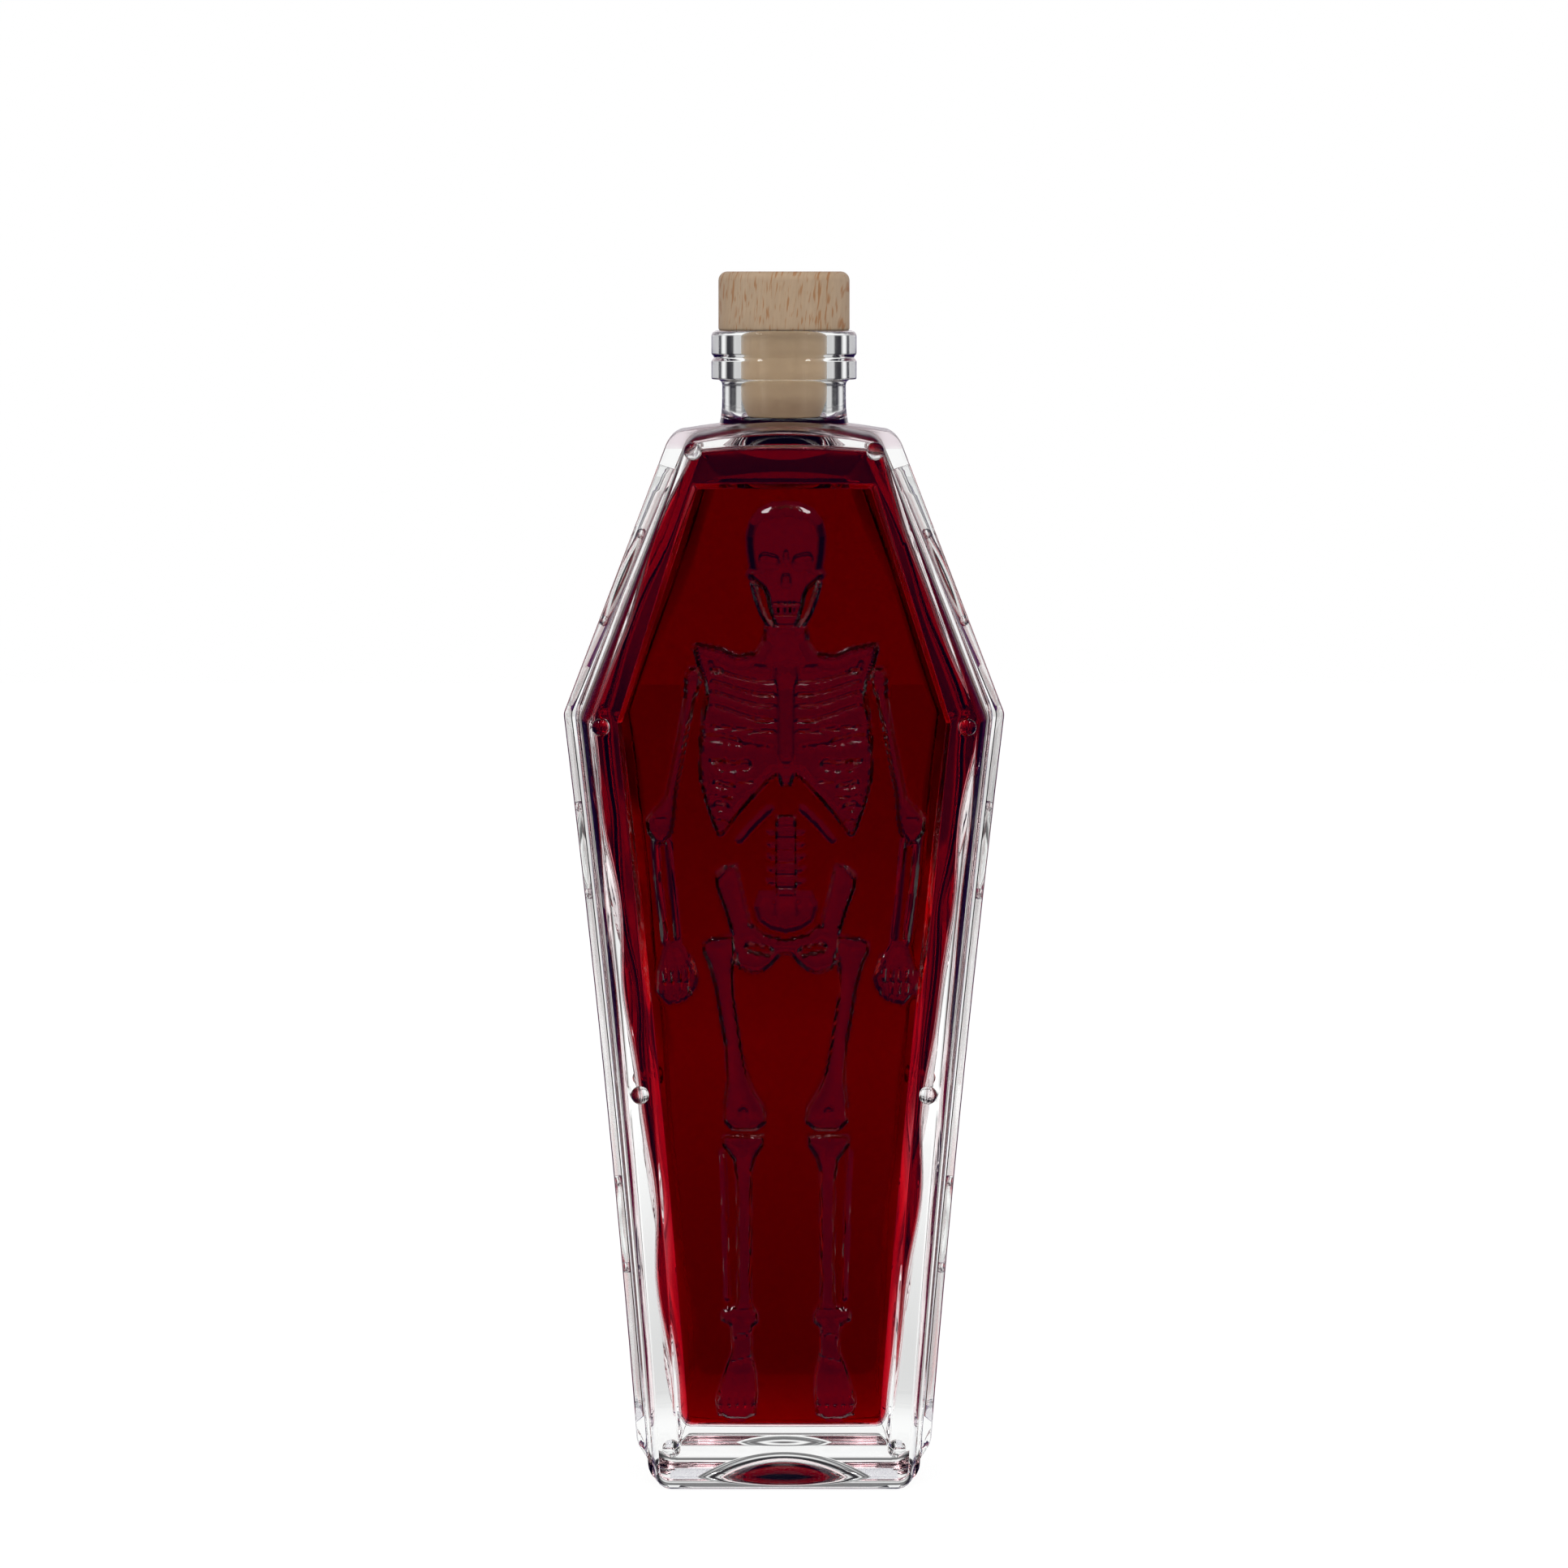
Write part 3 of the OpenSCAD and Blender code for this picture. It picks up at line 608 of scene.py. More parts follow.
# %% Arms and hands
def raise_arms(relief):
    """Upper arm, elbow, both bones of the lower arm, wrist and fingers."""
    relief.plate([(18.8, 174.6), (20.4, 174.6), (21.4, 172.6), (21.5, 168.0), (23.0, 160.0),
                  (24.2, 154.0), (25.6, 147.0), (28.2, 144.4), (29.6, 142.4), (29.2, 139.6),
                  (27.4, 137.2), (25.6, 137.0), (23.9, 139.4), (23.3, 142.4), (22.9, 147.8),
                  (21.6, 154.5), (20.3, 162.0), (19.0, 167.5), (17.7, 171.4), (17.8, 173.4)],
                 1.0, 0.9)
    relief.sink((25.4, 142.6), (27.6, 142.4), 0.6, 0.25)
    relief.chain([(27.6, 138.4), (27.0, 130.0), (25.4, 116.6)], 0.9, 0.5)
    relief.chain([(24.8, 138.0), (24.0, 130.0), (22.8, 117.2)], 0.85, 0.45)
    relief.plate([(22.2, 117.0), (25.4, 117.0), (27.2, 110.4), (27.4, 105.8), (24.8, 103.2),
                  (21.2, 104.0), (19.0, 106.6), (18.2, 109.4), (19.6, 112.6)], 0.5, 0.9)
    relief.bone((20.6, 113.0), (19.4, 109.6), 1.1, 0.9, 0.75)
    for i in range(4):
        root, tip = (20.9 + 1.55 * i, 111.0), (20.4 + 1.75 * i, 105.2 + 0.4 * abs(i - 1.5))
        relief.bone(root, tip, 0.9, 0.7, 0.8)
        relief.sink((root[0] - 0.6, 108.2), (root[0] + 0.4, 108.0), 0.4, 0.3)


# %% Legs and feet
def raise_legs(relief):
    """Thigh, knee, both bones of the shin, ankle and toes."""
    relief.plate([(10.8, 118.0), (15.4, 117.7), (17.7, 116.4), (17.6, 114.4), (16.4, 111.8),
                  (15.1, 107.0), (14.0, 100.0), (13.1, 95.0), (12.6, 87.0), (13.3, 81.6),
                  (13.2, 78.4), (11.4, 76.6), (6.0, 76.6), (3.9, 78.4), (4.4, 81.6), (6.6, 85.0),
                  (8.0, 88.4), (9.0, 93.0), (10.0, 100.0), (10.8, 105.0), (11.0, 110.0),
                  (10.6, 113.6)], 1.0, 0.95)
    relief.sink((9.0, 80.6), (8.9, 78.6), 1.3, 0.4)
    relief.plate([(4.6, 75.9), (13.4, 75.7), (13.6, 73.6), (11.2, 70.4), (10.6, 66.0), (10.5, 54.0),
                  (10.4, 41.0), (11.2, 38.2), (6.4, 38.2), (7.2, 41.0), (7.1, 54.0), (7.0, 68.0),
                  (6.2, 71.0), (4.5, 73.6)], 1.0, 0.9)
    relief.sink((9.2, 74.0), (9.2, 72.4), 0.9, 0.35)
    relief.chain([(13.5, 71.8), (13.1, 66.0), (12.8, 54.0), (12.4, 41.0)], 0.8, 0.42)
    relief.plate([(5.7, 38.2), (8.0, 39.4), (11.0, 39.4), (13.8, 38.4), (13.9, 36.2), (11.9, 35.2),
                  (11.5, 30.0), (12.8, 26.6), (15.1, 19.4), (14.6, 16.6), (12.4, 15.2), (8.4, 15.0),
                  (6.3, 16.2), (5.8, 20.0), (6.0, 25.0), (6.9, 28.6), (7.0, 34.8), (5.7, 35.8)],
                 0.8, 0.9)
    relief.sink((7.4, 33.6), (10.6, 33.0), 0.6, 0.3)
    relief.sink((7.6, 28.4), (11.4, 27.4), 0.6, 0.3)
    for i in range(5):
        toe = 7.0 + 1.7 * i
        relief.bone((toe, 20.2 + 0.1 * i), (toe, 19.4), 0.95, 0.95, 1.0)
        relief.bone((toe, 17.0), (toe, 16.6), 0.8, 0.8, 0.95)
        relief.sink((toe - 0.3, 18.2), (toe + 0.3, 18.2), 0.45, 0.25)


def skeleton_heights(x, z):
    """The whole relief at the given points, in mm."""
    relief = Relief(x, z)
    for raise_part in (raise_spine, raise_hips, raise_chest, raise_skull, raise_arms, raise_legs):
        raise_part(relief)
    return relief.h * TALLER


# %% [markdown]
# The outer skin starts as that grid. Its rim is then extruded from level to level: up the panel's
# bevel, across the flat frame, round the edge, over the raised rims of the side walls, and the same
# way back to the rear panel. A number on each point says its place on the outline, and an extruded
# point inherits it, so it always finds its place on the next one.

# %% Skin helpers
FINE_CUTS = 2
NEARBY = [(0, 0), (0.9, 0), (-0.9, 0), (0, 0.9), (0, -0.9), (0.6, 0.6), (-0.6, 0.6), (0.6, -0.6),
          (-0.6, -0.6)]


def carve(bm, place, relief):
    """Splits the grid finely round the relief, and lifts its points."""
    def heights(points):
        return relief(np.array([p.x for p in points]), np.array([p.z for p in points]))

    def near(f):
        return not any(v[place] >= 0 for v in f.verts)

    inside = [f for f in bm.faces if near(f)]
    probes = [f.calc_center_median() + Vector((dx, 0, dz)) for dx, dz in NEARBY for f in inside]
    raised = heights(probes).reshape(len(NEARBY), -1).max(axis=0) > 0
    edges = {e for f, hit in zip(inside, raised) if hit for e in f.edges}
    bmesh.ops.subdivide_edges(bm, edges=list(edges), cuts=FINE_CUTS, use_grid_fill=True)
    inner = [v for v in bm.verts if not v.is_boundary]
    for v, h in zip(inner, heights([v.co for v in inner])):
        v[place] = -1
        v.co.y -= h


def start_panel(line, y, relief=None, detail=1.0):
    """A grid that fills an outline at depth y. Returns the mesh, its rim and the place numbers."""
    points = outline(line, detail=detail)
    rows = CORNER_STEPS + WAIST_STEPS + round(LOWER_STEPS * detail) + round(UPPER_STEPS * detail)
    cols = CORNER_STEPS + round(EDGE_STEPS * detail)
    assert len(points) == 2 * (rows + cols)
    bm = bmesh.new()
    bmesh.ops.create_grid(bm, x_segments=cols, y_segments=rows, size=0.5)
    place = bm.verts.layers.int.new("place")
    right = points[:rows + 1]
    for v in bm.verts:
        i, j = round((v.co.x + 0.5) * cols), round((v.co.y + 0.5) * rows)
        v[place] = -1
        if i == cols:
            v[place] = j
        elif j == rows:
            v[place] = rows + cols - i
        elif i == 0:
            v[place] = 2 * rows + cols - j
        elif j == 0:
            v[place] = 2 * rows + cols + i
        if v[place] >= 0:
            x, z = points[v[place]]
        else:
            x, z = right[j][0] * (2 * i / cols - 1), right[j][1]
        v.co = (x, y, z)
    if relief:
        carve(bm, place, relief)
    return bm, [e for e in bm.edges if e.is_boundary], place


def next_level(bm, rim, place, points, y):
    """Extrudes the rim to the next outline and returns the new rim."""
    grown = bmesh.ops.extrude_edge_only(bm, edges=rim)["geom"]
    fresh = {g for g in grown if isinstance(g, bmesh.types.BMVert)}
    for v in fresh:
        x, z = points[v[place]]
        v.co = (x, y, z)
    return [g for g in grown if isinstance(g, bmesh.types.BMEdge) and fresh.issuperset(g.verts)]


def new_object(name, bm, materials):
    """A mesh object from a finished bmesh, still in mm."""
    data = bpy.data.meshes.new(name)
    bm.to_mesh(data)
    bm.free()
    for material in materials:
        data.materials.append(material)
    made = bpy.data.objects.new(name, data)
    scene.collection.objects.link(made)
    return made


# %% Levels of the skin, from the front panel to the middle
HEEL_ROUND = 3.0
EASE_SHARES = (1.0, 0.985, 0.95, 0.89, 0.8, 0.68, 0.52, 0.33, 0.12)
rim_right = outline(rim_line, SHOULDER_RISE)
rim_right = rim_right[rim_right[:, 0] >= 0]
rim_right = rim_right[np.argsort(rim_right[:, 1], kind="stable")]


def rimmed(points, share):
    """Pushes an outline's sides out towards the raised rims."""
    x, z = points[:, 0], points[:, 1]
    reach = np.interp(z, rim_right[:, 1], rim_right[:, 0], left=0.0)
    wide = np.maximum(np.abs(x), np.where(np.abs(x) > 1e-6, reach * np.minimum(np.abs(x) / 8, 1), 0))
    return np.column_stack([np.sign(x) * (np.abs(x) + (wide - np.abs(x)) * share), z])


def edge_level(share):
    """The outline and depth at a share of the rounding between side wall and frame."""
    y = side_flat + (front - side_flat) * share
    line = between(shelf_line, face_line, eased(y, side_flat, front),
                   eased(y, front - HEEL_ROUND, front), eased(y, side_flat, front))
    return outline(line, SHOULDER_RISE), y


def bevel_level(share, y_share):
    """The outline and depth at a share of the panel's bevel."""
    line = between(panel_line, bevel_line, share, share, share)
    return outline(line), front - PANEL_DEEP * (1 - y_share)


core_outline = outline(core_line, SHOULDER_RISE)
walls = np.abs(core_outline[:, 1] - (5.6 + shoulder) / 2) < (shoulder - 5.6) / 2 - 7.5


def side_panel(share):
    """The middle of the side walls: sunk between the rims, and full at their joined ends."""
    full, sunk = rimmed(core_outline, 1.0), rimmed(core_outline, share)
    return np.where(walls[:, None], sunk, full)


half_levels = [bevel_level(0.06, 0.04), bevel_level(0.18, 0.17), bevel_level(0.85, 0.85),
               bevel_level(0.96, 0.965), bevel_level(1.06, 1.0), bevel_level(1.2, 1.0)]
half_levels += [edge_level(share) for share in EASE_SHARES]
half_levels += [(outline(shelf_line, SHOULDER_RISE), side_flat + 0.25)]
half_levels += [(rimmed(core_outline, share), y) for share, y in (
    (0.0, side_flat), (0.85, side_flat), (0.96, side_flat - 0.12),
    (1.0, side_flat - 0.45), (1.0, side_flat - RIM_W + 0.45))]
half_levels += [(side_panel(share), y) for share, y in (
    (0.96, side_flat - RIM_W + 0.12), (0.85, side_flat - RIM_W), (0.12, side_flat - RIM_W - 0.1),
    (0.0, side_flat - RIM_W - 0.3), (0.0, side_flat - RIM_W - 1.0))]

# %% The skin
skin, rim, place = start_panel(panel_line, -(front - PANEL_DEEP), skeleton_heights)
for points, y in half_levels:
    rim = next_level(skin, rim, place, points, -y)
rim = next_level(skin, rim, place, side_panel(0.0), 0.0)
for points, y in reversed(half_levels):
    rim = next_level(skin, rim, place, points, y)
for share in (0.0, -0.15):
    rim = next_level(skin, rim, place, bevel_level(share, 0.0)[0], front - PANEL_DEEP)
bmesh.ops.contextual_create(skin, geom=rim)
bmesh.ops.recalc_face_normals(skin, faces=skin.faces)
# Flat faces of the panel floor get the glass with the painted dim reflection.
for f in skin.faces:
    low_down = abs(f.calc_center_median().y + front - PANEL_DEEP) < 0.06
    f.material_index = 2 if low_down and abs(f.normal.y) > 0.97 else 0
    # Faces at the top of the shoulder get the glass with the painted pinkish sheen.
    middle = f.calc_center_median()
    if middle.z > shoulder - 6 and (f.normal.z > 0.12 or middle.z > shoulder - 4.2):
        f.material_index = 3
print("skin:", len(skin.verts), "points,", len(skin.faces), "faces")
body = new_object("glass_body", skin, GLASSES)


# %% [markdown]
# Neck and lip ring are round, so they are spun from half an outline. The ring has two bands with a
# groove between them, and the neck flares into the shoulder below it.

# %% Turned shapes
TURN_STEPS = 96


def turned(profile, steps=TURN_STEPS):
    """A closed shape spun about Z from points given as radius and height."""
    bm = bmesh.new()
    verts = [bm.verts.new((r, 0, z)) for r, z in profile]
    edges = [bm.edges.new(pair) for pair in zip(verts, verts[1:])]
    bmesh.ops.spin(bm, geom=verts + edges, cent=(0, 0, 0), axis=(0, 0, 1), angle=2 * math.pi,
                   steps=steps, use_merge=True)
    bmesh.ops.remove_doubles(bm, verts=bm.verts, dist=1e-4)
    bmesh.ops.recalc_face_normals(bm, faces=bm.faces)
    return bm


def rounding(centre, radius, start, end, steps):
    """Profile points of an arc, by angles in degrees."""
    turns = np.radians(np.linspace(start, end, steps + 1))
    return [(centre[0] + radius * math.cos(t), centre[1] + radius * math.sin(t)) for t in turns]


# %% Neck
NECK_R, LIP_R, BORE_R = 13.15, 15.45, 9.2
LIP_H = 10.4
ring_foot = height - LIP_H
groove = height - 0.55 * LIP_H
flare_foot = shoulder + 0.6
neck_profile = (
    [(0, shoulder - 7), (NECK_R + 2.4, shoulder - 7), (NECK_R + 2.4, flare_foot - 0.25)]
    + [(NECK_R + wider, flare_foot + up) for wider, up in (
        (1.5, 0.0), (0.9, 0.3), (0.55, 0.8), (0.35, 1.6), (0.18, 2.8), (0.05, 4.2))]
    + [(NECK_R, ring_foot - 2.2)] + rounding((NECK_R + 1.2, ring_foot - 1.2), 1.2, 180, 90, 4)
    + [(LIP_R - 0.5, ring_foot)] + rounding((LIP_R - 0.35, ring_foot + 0.35), 0.35, -90, 0, 3)
    + [(LIP_R, groove - 0.9), (LIP_R - 0.12, groove - 0.6), (LIP_R - 0.45, groove - 0.25),
       (LIP_R - 0.55, groove), (LIP_R - 0.45, groove + 0.25), (LIP_R - 0.12, groove + 0.6),
       (LIP_R, groove + 0.9)]
    + rounding((LIP_R - 1.3, height - 1.3), 1.3, 0, 90, 6) + [(0, height)]
)
neck = turned(neck_profile)
print("neck:", len(neck.faces), "faces")

# %% [markdown]
# Studs sit on the frame's corners and half way down its long sides, in front and behind. They are
# spheres sunk to their middle, added to the neck's mesh because none of them touch each other.

# %% Studs and bosses
BOSS_R = 1.35
HANDLE_L = 18.4
stud_places = [
    (face_line[2][0] - 1.2, face_line[2][1] - 1.5), (face_line[1][0] - 2.3, face_line[1][1] - 0.8),
    ((face_line[0][0] + face_line[1][0]) / 2 - 2.3 - SIDE_BOW, (waist + PANEL_FOOT) / 2 - 5.2),
    (face_line[0][0] - 2.3, PANEL_FOOT - 5.4)]
core_right = core_outline[core_outline[:, 0] >= 0]
core_right = core_right[np.argsort(core_right[:, 1], kind="stable")]


def wall_x(z):
    """Half width of the sunk side wall at a height."""
    return float(np.interp(z, core_right[:, 1], core_right[:, 0]))


handle_ends = [(z - HANDLE_L / 2, z + HANDLE_L / 2) for z in (waist + 27.6, waist - 30.1, waist - 110.6)]


def add_ball(bm, centre, radius, around=24, high=12):
    bmesh.ops.create_uvsphere(bm, u_segments=around, v_segments=high, radius=radius,
                              matrix=Matrix.Translation(centre))


for x, z in stud_places:
    for side in (-1, 1):
        for y in (-front, front) if z > PANEL_FOOT else (-front,):
            add_ball(neck, (side * x, y, z), STUD_R - 0.01)
for ends in handle_ends:
    for z in ends:
        for side in (-1, 1):
            add_ball(neck, (side * wall_x(z), 0, z), BOSS_R, 20, 10)
bmesh.ops.recalc_face_normals(neck, faces=neck.faces)
trimmings = new_object("neck_and_studs", neck, GLASSES)

# %% [markdown]
# Each side wall carries three bar handles, like the ones on a real coffin. A bar runs from boss to
# boss and stands a little proud in its middle.

# %% Bars
BAR_R = 0.95
BAR_PROUD = 0.9
BAR_STEPS = 16
bars = bmesh.new()
for low, high in handle_ends:
    for side in (-1, 1):
        a, b = Vector((wall_x(low), 0, low)), Vector((wall_x(high), 0, high))
        out = Vector(((b - a).z, 0, -(b - a).x)).normalized()
        ring = bmesh.ops.create_circle(bars, segments=12, radius=BAR_R, cap_ends=True)["verts"]
        tilt = Vector((0, 0, 1)).rotation_difference((b - a).normalized()).to_matrix()
        bmesh.ops.rotate(bars, verts=ring, matrix=tilt, cent=(0, 0, 0))
        bmesh.ops.translate(bars, verts=ring, vec=a)
        bar_verts = list(ring)
        cap = [f for f in ring[0].link_faces]
        for k in range(1, BAR_STEPS + 1):
            grown = bmesh.ops.extrude_face_region(bars, geom=cap)["geom"]
            bmesh.ops.delete(bars, geom=cap, context="FACES")
            fresh = [g for g in grown if isinstance(g, bmesh.types.BMVert)]
            cap = [g for g in grown if isinstance(g, bmesh.types.BMFace)]
            lift = [BAR_PROUD * 4 * t * (1 - t) for t in ((k - 1) / BAR_STEPS, k / BAR_STEPS)]
            bmesh.ops.translate(bars, verts=fresh, vec=(b - a) / BAR_STEPS + out * (lift[1] - lift[0]))
            bar_verts += fresh
        bmesh.ops.holes_fill(bars, edges=[e for e in bars.edges if e.is_boundary])
        if side < 0:
            bmesh.ops.scale(bars, vec=(-1, 1, 1), verts=bar_verts)
bmesh.ops.recalc_face_normals(bars, faces=bars.faces)
print("bars:", len(bars.faces), "faces, open edges:", sum(e.is_boundary for e in bars.edges))
bar_handles = new_object("bars", bars, GLASSES)

# %% [markdown]
# The hollow is blown, not moulded, so it follows the outside only roughly: round corners, a thick
# base and side walls that wander by half a millimetre. Those slow waves are what draws the wet
# looking streaks down the thick edges of the glass.

# %% The hollow
FRONT_WALL = 3.0
BACK_WALL = 6.5
FRONT_ROUND = 2.2
BACK_ROUND = 16.0
BACK_TOP_ROUND = 10.0
HOLLOW_DETAIL = 0.7
WAVE = 1.1
LEVEL = liquid_high[2] / MM
MENISCUS = 225.6 - LEVEL
hollow_front = front - PANEL_DEEP - FRONT_WALL
hollow_back = front - PANEL_DEEP - BACK_WALL
hollow_line = ((23.8, 12.6), (core_line[1][0] - 3.2, waist - 0.6), (20.4, shoulder - 3.9),
               (4.5, 4.0, 1.2))
front_line = ((22.8, 14.0), (hollow_line[1][0] - 1.0, waist - 0.8), (19.6, shoulder - 5.0),
              (3.4, 3.0, 0.7))
back_line = ((19.6, 20.0), (hollow_line[1][0] - 9.0, waist - 1.0), (13.6, shoulder - 10.5),
             (3.0, 4.0, 2.0))
FLOOR_SAG = 1.0


def wavy(points, y, amount):
    """Wanders the sides of the hollow in and out, by slow waves along height and depth."""
    x, z = points[:, 0], points[:, 1]
    side = np.sign(x)
    phase = np.where(side > 0, 0.0, 1.9)
    sway = (np.sin(z / 8.5 + phase + y / 9) + 0.7 * np.sin(z / 5.1 - 1.3 * phase + y / 6 + 2)
            + 0.5 * np.sin(z / 14 + y / 4 + phase))
    share = np.clip((np.abs(x) - 12) / 8, 0, 1)
    return np.column_stack([x - side * amount * share * (sway + 1.2) / 2.2, z])


def hollow_level(y):
    if y < 0:
        wall, edge = hollow_front, front_line
        side = top = eased(y, wall - FRONT_ROUND, wall)
    else:
        wall, edge = hollow_back, back_line
        side, top = (0.8 * max((y - wall + deep) / deep, 0.0) + 0.2 * eased(y, wall - deep, wall)
                     for deep in (BACK_ROUND, BACK_TOP_ROUND))
    line = between(hollow_line, edge, side, top, top)
    sag = FLOOR_SAG * (1 - (y / wall) ** 2)
    return wavy(outline(line, 1.0, HOLLOW_DETAIL, sag), y, WAVE)


ROUND_SHARES = (0.99, 0.95, 0.87, 0.74, 0.58, 0.38, 0.18, 0.0)
front_depths = [hollow_front - FRONT_ROUND * (1 - share) for share in ROUND_SHARES]
back_depths = [hollow_back - BACK_ROUND * (1 - share) for share in ROUND_SHARES]
middle_depths = [-13.5, -9.0, -4.5, 0.0, 4.5]
hollow, rim, place = start_panel(front_line, -hollow_front, detail=HOLLOW_DETAIL)
for y in [-y for y in front_depths] + middle_depths + back_depths[::-1] + [hollow_back]:
    rim = next_level(hollow, rim, place, hollow_level(y), y)
bmesh.ops.contextual_create(hollow, geom=rim)
bmesh.ops.recalc_face_normals(hollow, faces=hollow.faces)
hollow_body = new_object("hollow", hollow, GLASSES)

hollow_top = hollow_line[2][1]
bore_profile = (
    [(0, hollow_top - 4), (14.6, hollow_top - 4), (14.6, hollow_top - 0.6), (13.9, hollow_top + 0.1),
     (12.6, hollow_top + 0.8), (11.4, hollow_top + 1.7), (10.4, hollow_top + 2.8),
     (9.7, hollow_top + 3.9), (9.3, hollow_top + 4.9)]
    + [(BORE_R, LEVEL + MENISCUS), (BORE_R, height - 1.0), (BORE_R + 0.08, height - 0.5),
       (BORE_R + 0.4, height - 0.1), (BORE_R + 0.8, height + 0.3), (BORE_R + 0.8, height + 2),
       (0, height + 2)]
)
bore = new_object("bore", turned(bore_profile), GLASSES)


# %% [markdown]
# Cutting and joining solids is a job for the Boolean modifier. Its manifold solver is quick and
# keeps closed meshes closed. The result is taken as a plain mesh, so nothing depends on the tools
# afterwards.

# %% Booleans
def combined(base, tool, operation):
    """Joins or cuts, and removes the tool."""
    modifier = base.modifiers.new("combine", "BOOLEAN")
    modifier.operation = operation
    modifier.solver = "MANIFOLD"
    modifier.object = tool
    bpy.context.view_layer.update()
    result = bpy.data.meshes.new_from_object(
        base.evaluated_get(bpy.context.evaluated_depsgraph_get()))
    base.modifiers.clear()
    base.data = result
    bpy.data.objects.remove(tool)
    return base


PUNT_R, PUNT_DEEP = 19.0, 5.5
punt_ball = (PUNT_R ** 2 + PUNT_DEEP ** 2) / (2 * PUNT_DEEP)
punt_cap = turned([(0, -9)] + [(PUNT_R * 1.25, -9)] + [
    (r, PUNT_DEEP - punt_ball + math.sqrt(punt_ball ** 2 - r * r))
    for r in np.linspace(PUNT_R * 1.25, 0, 22)])
punt = new_object("punt", punt_cap, GLASSES)

combined(hollow_body, bore, "UNION")
wetted = bmesh.new()
wetted.from_mesh(hollow_body.data)
bmesh.ops.bisect_plane(wetted, geom=wetted.verts[:] + wetted.edges[:] + wetted.faces[:], dist=1e-5,
                       plane_co=(0, 0, LEVEL + MENISCUS), plane_no=(0, 0, 1))
# Below the level the inner wall is wetted; above it the dry wall gets the glass with the painted dim
# reflection.
for f in wetted.faces:
    f.material_index = 1 if f.calc_center_median().z < LEVEL + MENISCUS else 2
wetted.to_mesh(hollow_body.data)
liquid_mesh = wetted

combined(body, trimmings, "UNION")
combined(body, bar_handles, "UNION")
combined(body, punt, "DIFFERENCE")
combined(body, hollow_body, "DIFFERENCE")


# %% Finish a piece
def finished(piece, carrier, slot_name, *nodes, sharp=35.0):
    """Scales a piece to metres, shades it, hangs it on the body that carries it and hides the parts it
    stands for.
    """
    piece.data.transform(Matrix.Scale(MM, 4))
    piece.data.shade_smooth()
    piece.data.set_sharp_from_angle(angle=math.radians(sharp))
    weighted = piece.modifiers.new("flat_faces_first", "WEIGHTED_NORMAL")
    weighted.keep_sharp = True
    bpy.context.view_layer.update()
    data = bpy.data.meshes.new_from_object(
        piece.evaluated_get(bpy.context.evaluated_depsgraph_get()))
    piece.modifiers.clear()
    piece.data = data
    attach(piece, carrier)
    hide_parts(*nodes)
    check = bmesh.new()
    check.from_mesh(data)
    loose = sum(not e.is_manifold for e in check.edges)
    size = [round(v / MM, 2) for v in piece.dimensions]
    print(piece.name, "triangles:", sum(len(f.verts) - 2 for f in check.faces), "open edges:", loose,
          "volume cm3:", round(check.calc_volume() * 1e6, 1), "size:", size,
          "faces by material:", np.bincount([f.material_index for f in check.faces]).tolist())
    check.free()
    return piece


finished(body, "bottle", "glass", "bottle")

# %% [markdown]
# The liquid fills the hollow up to its level, a hair into the glass, so that no air shows between
# them. Water climbs a little where it meets the wall: that curl is the meniscus. The dark crescent at
# the foot of the neck is painted shade: a band of the curl next to the wall is an opaque dark red.

# %% Dyed water
SEEP = 0.08
MENISCUS_STEEP, MENISCUS_RUN = 0.8, 2.6
# Painted shade: between these heights, next to the wall, the liquid is an opaque dark red that draws the
# dark crescent.
DARK_FOOT, DARK_TOP = 223.7, 225.55
painted_crescent, tree = new_material("dyed_water_painted_dark_crescent")
shade = add(tree, "ShaderNodeBsdfPrincipled", {
    "Base Color": linear("#1c0008"), "Roughness": 0.3, "Specular IOR Level": 0.0})
add(tree, "ShaderNodeOutputMaterial", links={"Surface": shade.outputs[0]})
for f in liquid_mesh.faces:
    f.material_index = 0
upper = [f for f in liquid_mesh.faces if f.calc_center_median().z > LEVEL + MENISCUS]
bmesh.ops.delete(liquid_mesh, geom=upper, context="FACES")
rim = [e for e in liquid_mesh.edges if e.is_boundary]
for radius in (8.95, 8.7, 8.4, 8.0, 7.4, 6.6, 5.5, 3.8, 1.8):
    grown = bmesh.ops.extrude_edge_only(liquid_mesh, edges=rim)["geom"]
    fresh = {g for g in grown if isinstance(g, bmesh.types.BMVert)}
    for v in fresh:
        out = Vector((v.co.x, v.co.y, 0)).normalized() * radius
        climb = (0.6 * math.exp((radius - BORE_R) / MENISCUS_STEEP)
                 + 0.4 * math.exp((radius - BORE_R) / MENISCUS_RUN))
        v.co = (out.x, out.y, LEVEL + MENISCUS * climb)
    rim = [g for g in grown if isinstance(g, bmesh.types.BMEdge) and fresh.issuperset(g.verts)]
    for g in grown:
        if isinstance(g, bmesh.types.BMFace):
            g.material_index = 1
cap = bmesh.ops.contextual_create(liquid_mesh, geom=rim)["faces"]
for f in cap:
    f.material_index = 1
bmesh.ops.recalc_face_normals(liquid_mesh, faces=liquid_mesh.faces)
liquid_mesh.normal_update()
for v in liquid_mesh.verts:
    if all(f.material_index == 0 for f in v.link_faces):
        v.co += v.normal * SEEP
for up in (DARK_FOOT, DARK_TOP):
    bmesh.ops.bisect_plane(
        liquid_mesh, geom=liquid_mesh.verts[:] + liquid_mesh.edges[:] + liquid_mesh.faces[:],
        dist=1e-5, plane_co=(0, 0, up), plane_no=(0, 0, 1))
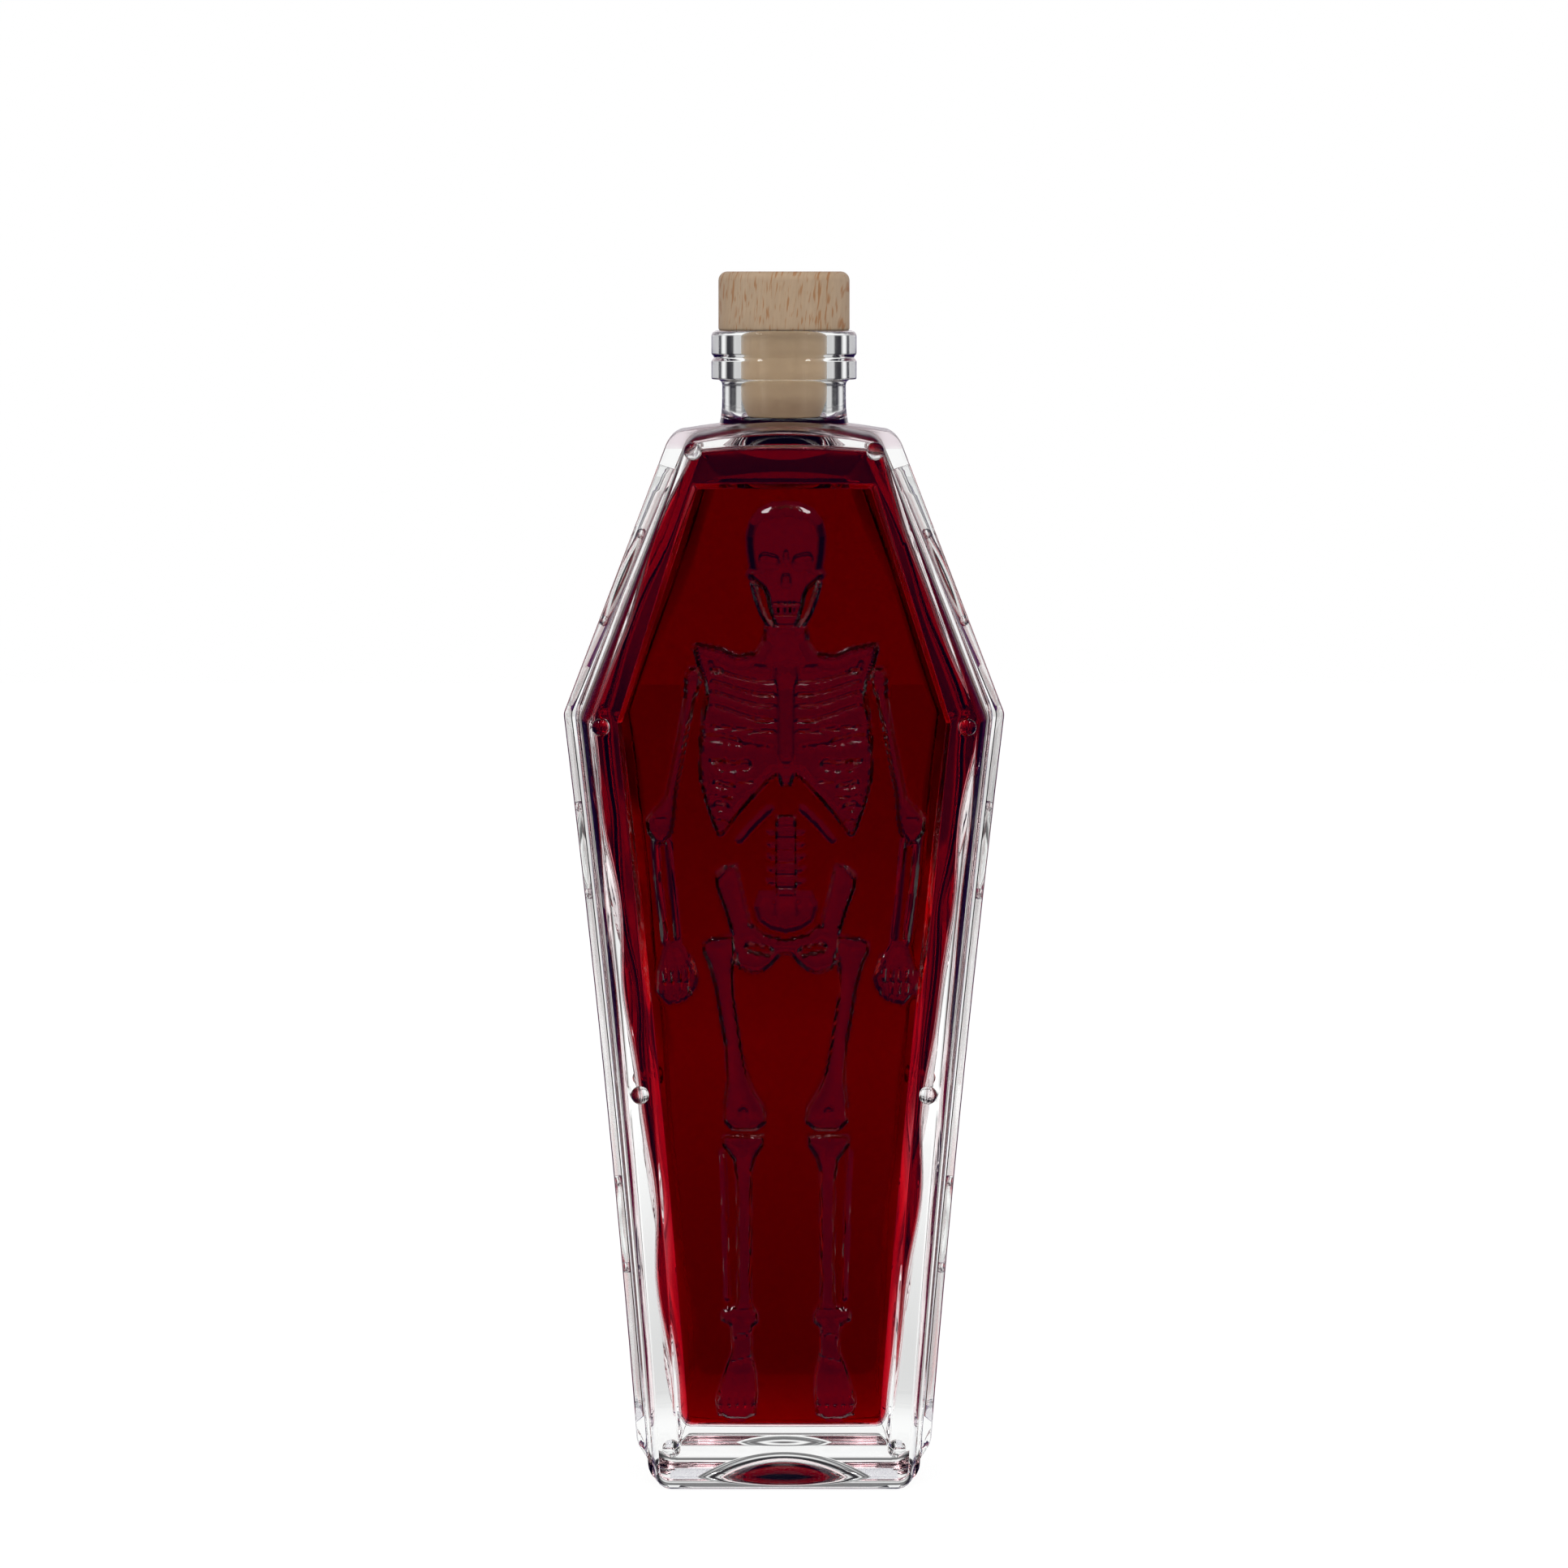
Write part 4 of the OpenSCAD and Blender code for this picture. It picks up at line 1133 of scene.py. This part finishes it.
# The faces of the painted dark crescent: the band next to the wall.
for f in liquid_mesh.faces:
    middle = f.calc_center_median()
    if DARK_FOOT < middle.z < DARK_TOP and middle.xy.length > BORE_R - 0.2:
        f.material_index = 2
print("dark edge:", sum(f.material_index == 2 for f in liquid_mesh.faces), "faces")
liquid = new_object("red_liquid", liquid_mesh, [dyed_water, water_top, painted_crescent])
finished(liquid, "bottle", "liquid", "liquid")

# %% [markdown]
# The stopper's head is turned from beech and sanded. Beech is pale and even, and is known by its
# rays: thin ribbons that show end on as short dark dashes, and from the side as broad flecks. One
# noise pattern that is thin across, tall along the grain and long in depth gives both.

# %% Beech
RAY_WIDE, RAY_TALL, RAY_DEEP = 0.3, 2.2, 6.0


def beech_material():
    material, tree = new_material("beech_turned_and_sanded")
    place = add(tree, "ShaderNodeTexCoord")
    lean = add(tree, "ShaderNodeMapping", {"Rotation": (0, math.radians(-5), math.radians(12))},
               {"Vector": place.outputs["Object"]})
    rays_at = add(tree, "ShaderNodeMapping", {
        "Scale": (1 / (RAY_WIDE * MM), 1 / (RAY_DEEP * MM), 1 / (RAY_TALL * MM))},
        {"Vector": lean.outputs[0]})
    rays = add(tree, "ShaderNodeTexNoise", {"Scale": 0.7, "Detail": 1.0, "Roughness": 0.4},
               {"Vector": rays_at.outputs[0]})
    ray = add(tree, "ShaderNodeMapRange", {"From Min": 0.56, "From Max": 0.68},
              {"Value": rays.outputs["Fac"]})
    grain_at = add(tree, "ShaderNodeMapping", {"Scale": (2600, 1400, 260)},
                   {"Vector": lean.outputs[0]})
    grain = add(tree, "ShaderNodeTexNoise", {"Scale": 1.0, "Detail": 3.0},
                {"Vector": grain_at.outputs[0]})
    bands_at = add(tree, "ShaderNodeMapping", {"Scale": (260, 60, 25)}, {"Vector": lean.outputs[0]})
    bands = add(tree, "ShaderNodeTexNoise", {"Scale": 1.0, "Detail": 2.0},
                {"Vector": bands_at.outputs[0]})
    pale = add(tree, "ShaderNodeMix", {"A": linear("#ac967d"), "B": linear("#a1876a")},
               {"Factor": bands.outputs["Fac"]}, data_type="RGBA")
    fine = add(tree, "ShaderNodeMapRange", {"From Min": 0.3, "From Max": 0.7, "To Min": 0.93,
                                            "To Max": 1.05}, {"Value": grain.outputs["Fac"]})
    grained = add(tree, "ShaderNodeVectorMath", operation="SCALE",
                  links={0: pale.outputs["Result"], "Scale": fine.outputs["Result"]})
    strength = add(tree, "ShaderNodeMath", {1: 0.75}, {0: ray.outputs["Result"]}, operation="MULTIPLY")
    wood = add(tree, "ShaderNodeMix", {"B": linear("#93602f")}, {
        "Factor": strength.outputs[0], "A": grained.outputs[0]}, data_type="RGBA")
    bump = add(tree, "ShaderNodeBump", {"Strength": 0.15, "Distance": 0.00005},
               {"Height": grain.outputs["Fac"]})
    shader = add(tree, "ShaderNodeBsdfPrincipled", {"Roughness": 0.6, "IOR": 1.5},
                 {"Base Color": wood.outputs["Result"], "Normal": bump.outputs[0]})
    add(tree, "ShaderNodeOutputMaterial", links={"Surface": shader.outputs[0]})
    return material


# %% The stopper's head
head_r = head_high[0] / MM - 0.25
head_foot, head_top = head_low[2] / MM, head_high[2] / MM
TOP_ROUND = 1.9
FOOT_ROUND = 0.45
SPIGOT_R, SPIGOT_H, GLUE = 5.0, 7.0, 0.05
head_profile = (
    [(0, head_foot + SPIGOT_H + GLUE), (SPIGOT_R + GLUE, head_foot + SPIGOT_H + GLUE),
     (SPIGOT_R + GLUE, head_foot)]
    + rounding((head_r - FOOT_ROUND, head_foot + FOOT_ROUND), FOOT_ROUND, -90, 0, 4)
    + [(head_r, head_foot + 3), (head_r, head_top - TOP_ROUND - 2)]
    + rounding((head_r - TOP_ROUND, head_top - TOP_ROUND), TOP_ROUND, 0, 90, 8)
    + [(head_r - TOP_ROUND - 2, head_top), (0, head_top)]
)
head = new_object("beech_head", turned(head_profile), [beech_material()])
finished(head, "stopper", "beech", "stopper_head")

# %% [markdown]
# The shank is moulded from a beige rubbery plastic that grips the bore. It is matte and a little
# soft at its edges, with a chamfered tip that finds the way into the neck.

# %% Shank
def polymer_material():
    material, tree = new_material("beige_elastomer_moulded")
    place = add(tree, "ShaderNodeTexCoord")
    cloud = add(tree, "ShaderNodeTexNoise", {"Scale": 180.0, "Detail": 2.0},
                {"Vector": place.outputs["Object"]})
    tone = add(tree, "ShaderNodeMix", {"A": linear("#f2cfa6"), "B": linear("#e8c49a")},
               {"Factor": cloud.outputs["Fac"]}, data_type="RGBA")
    shader = add(tree, "ShaderNodeBsdfPrincipled", {"Roughness": 0.5, "IOR": 1.5},
                 {"Base Color": tone.outputs["Result"]})
    add(tree, "ShaderNodeOutputMaterial", links={"Surface": shader.outputs[0]})
    return material


shank_r = shank_high[0] / MM
tip = shank_low[2] / MM
TIP_CHAMFER, TIP_IN = 4.2, 1.3
shank_profile = (
    [(0, tip), (shank_r - TIP_IN - 0.6, tip)]
    + rounding((shank_r - TIP_IN - 0.6, tip + 0.6), 0.6, -90, -15, 4)
    + [(shank_r - 0.5, tip + TIP_CHAMFER - 1.2), (shank_r - 0.12, tip + TIP_CHAMFER),
       (shank_r, tip + TIP_CHAMFER + 1.2),
       (shank_r, head_foot), (SPIGOT_R, head_foot), (SPIGOT_R, head_foot + SPIGOT_H),
       (0, head_foot + SPIGOT_H)]
)
shank = new_object("shank", turned(shank_profile), [polymer_material()])
finished(shank, "stopper", "polymer", "stopper_shank")
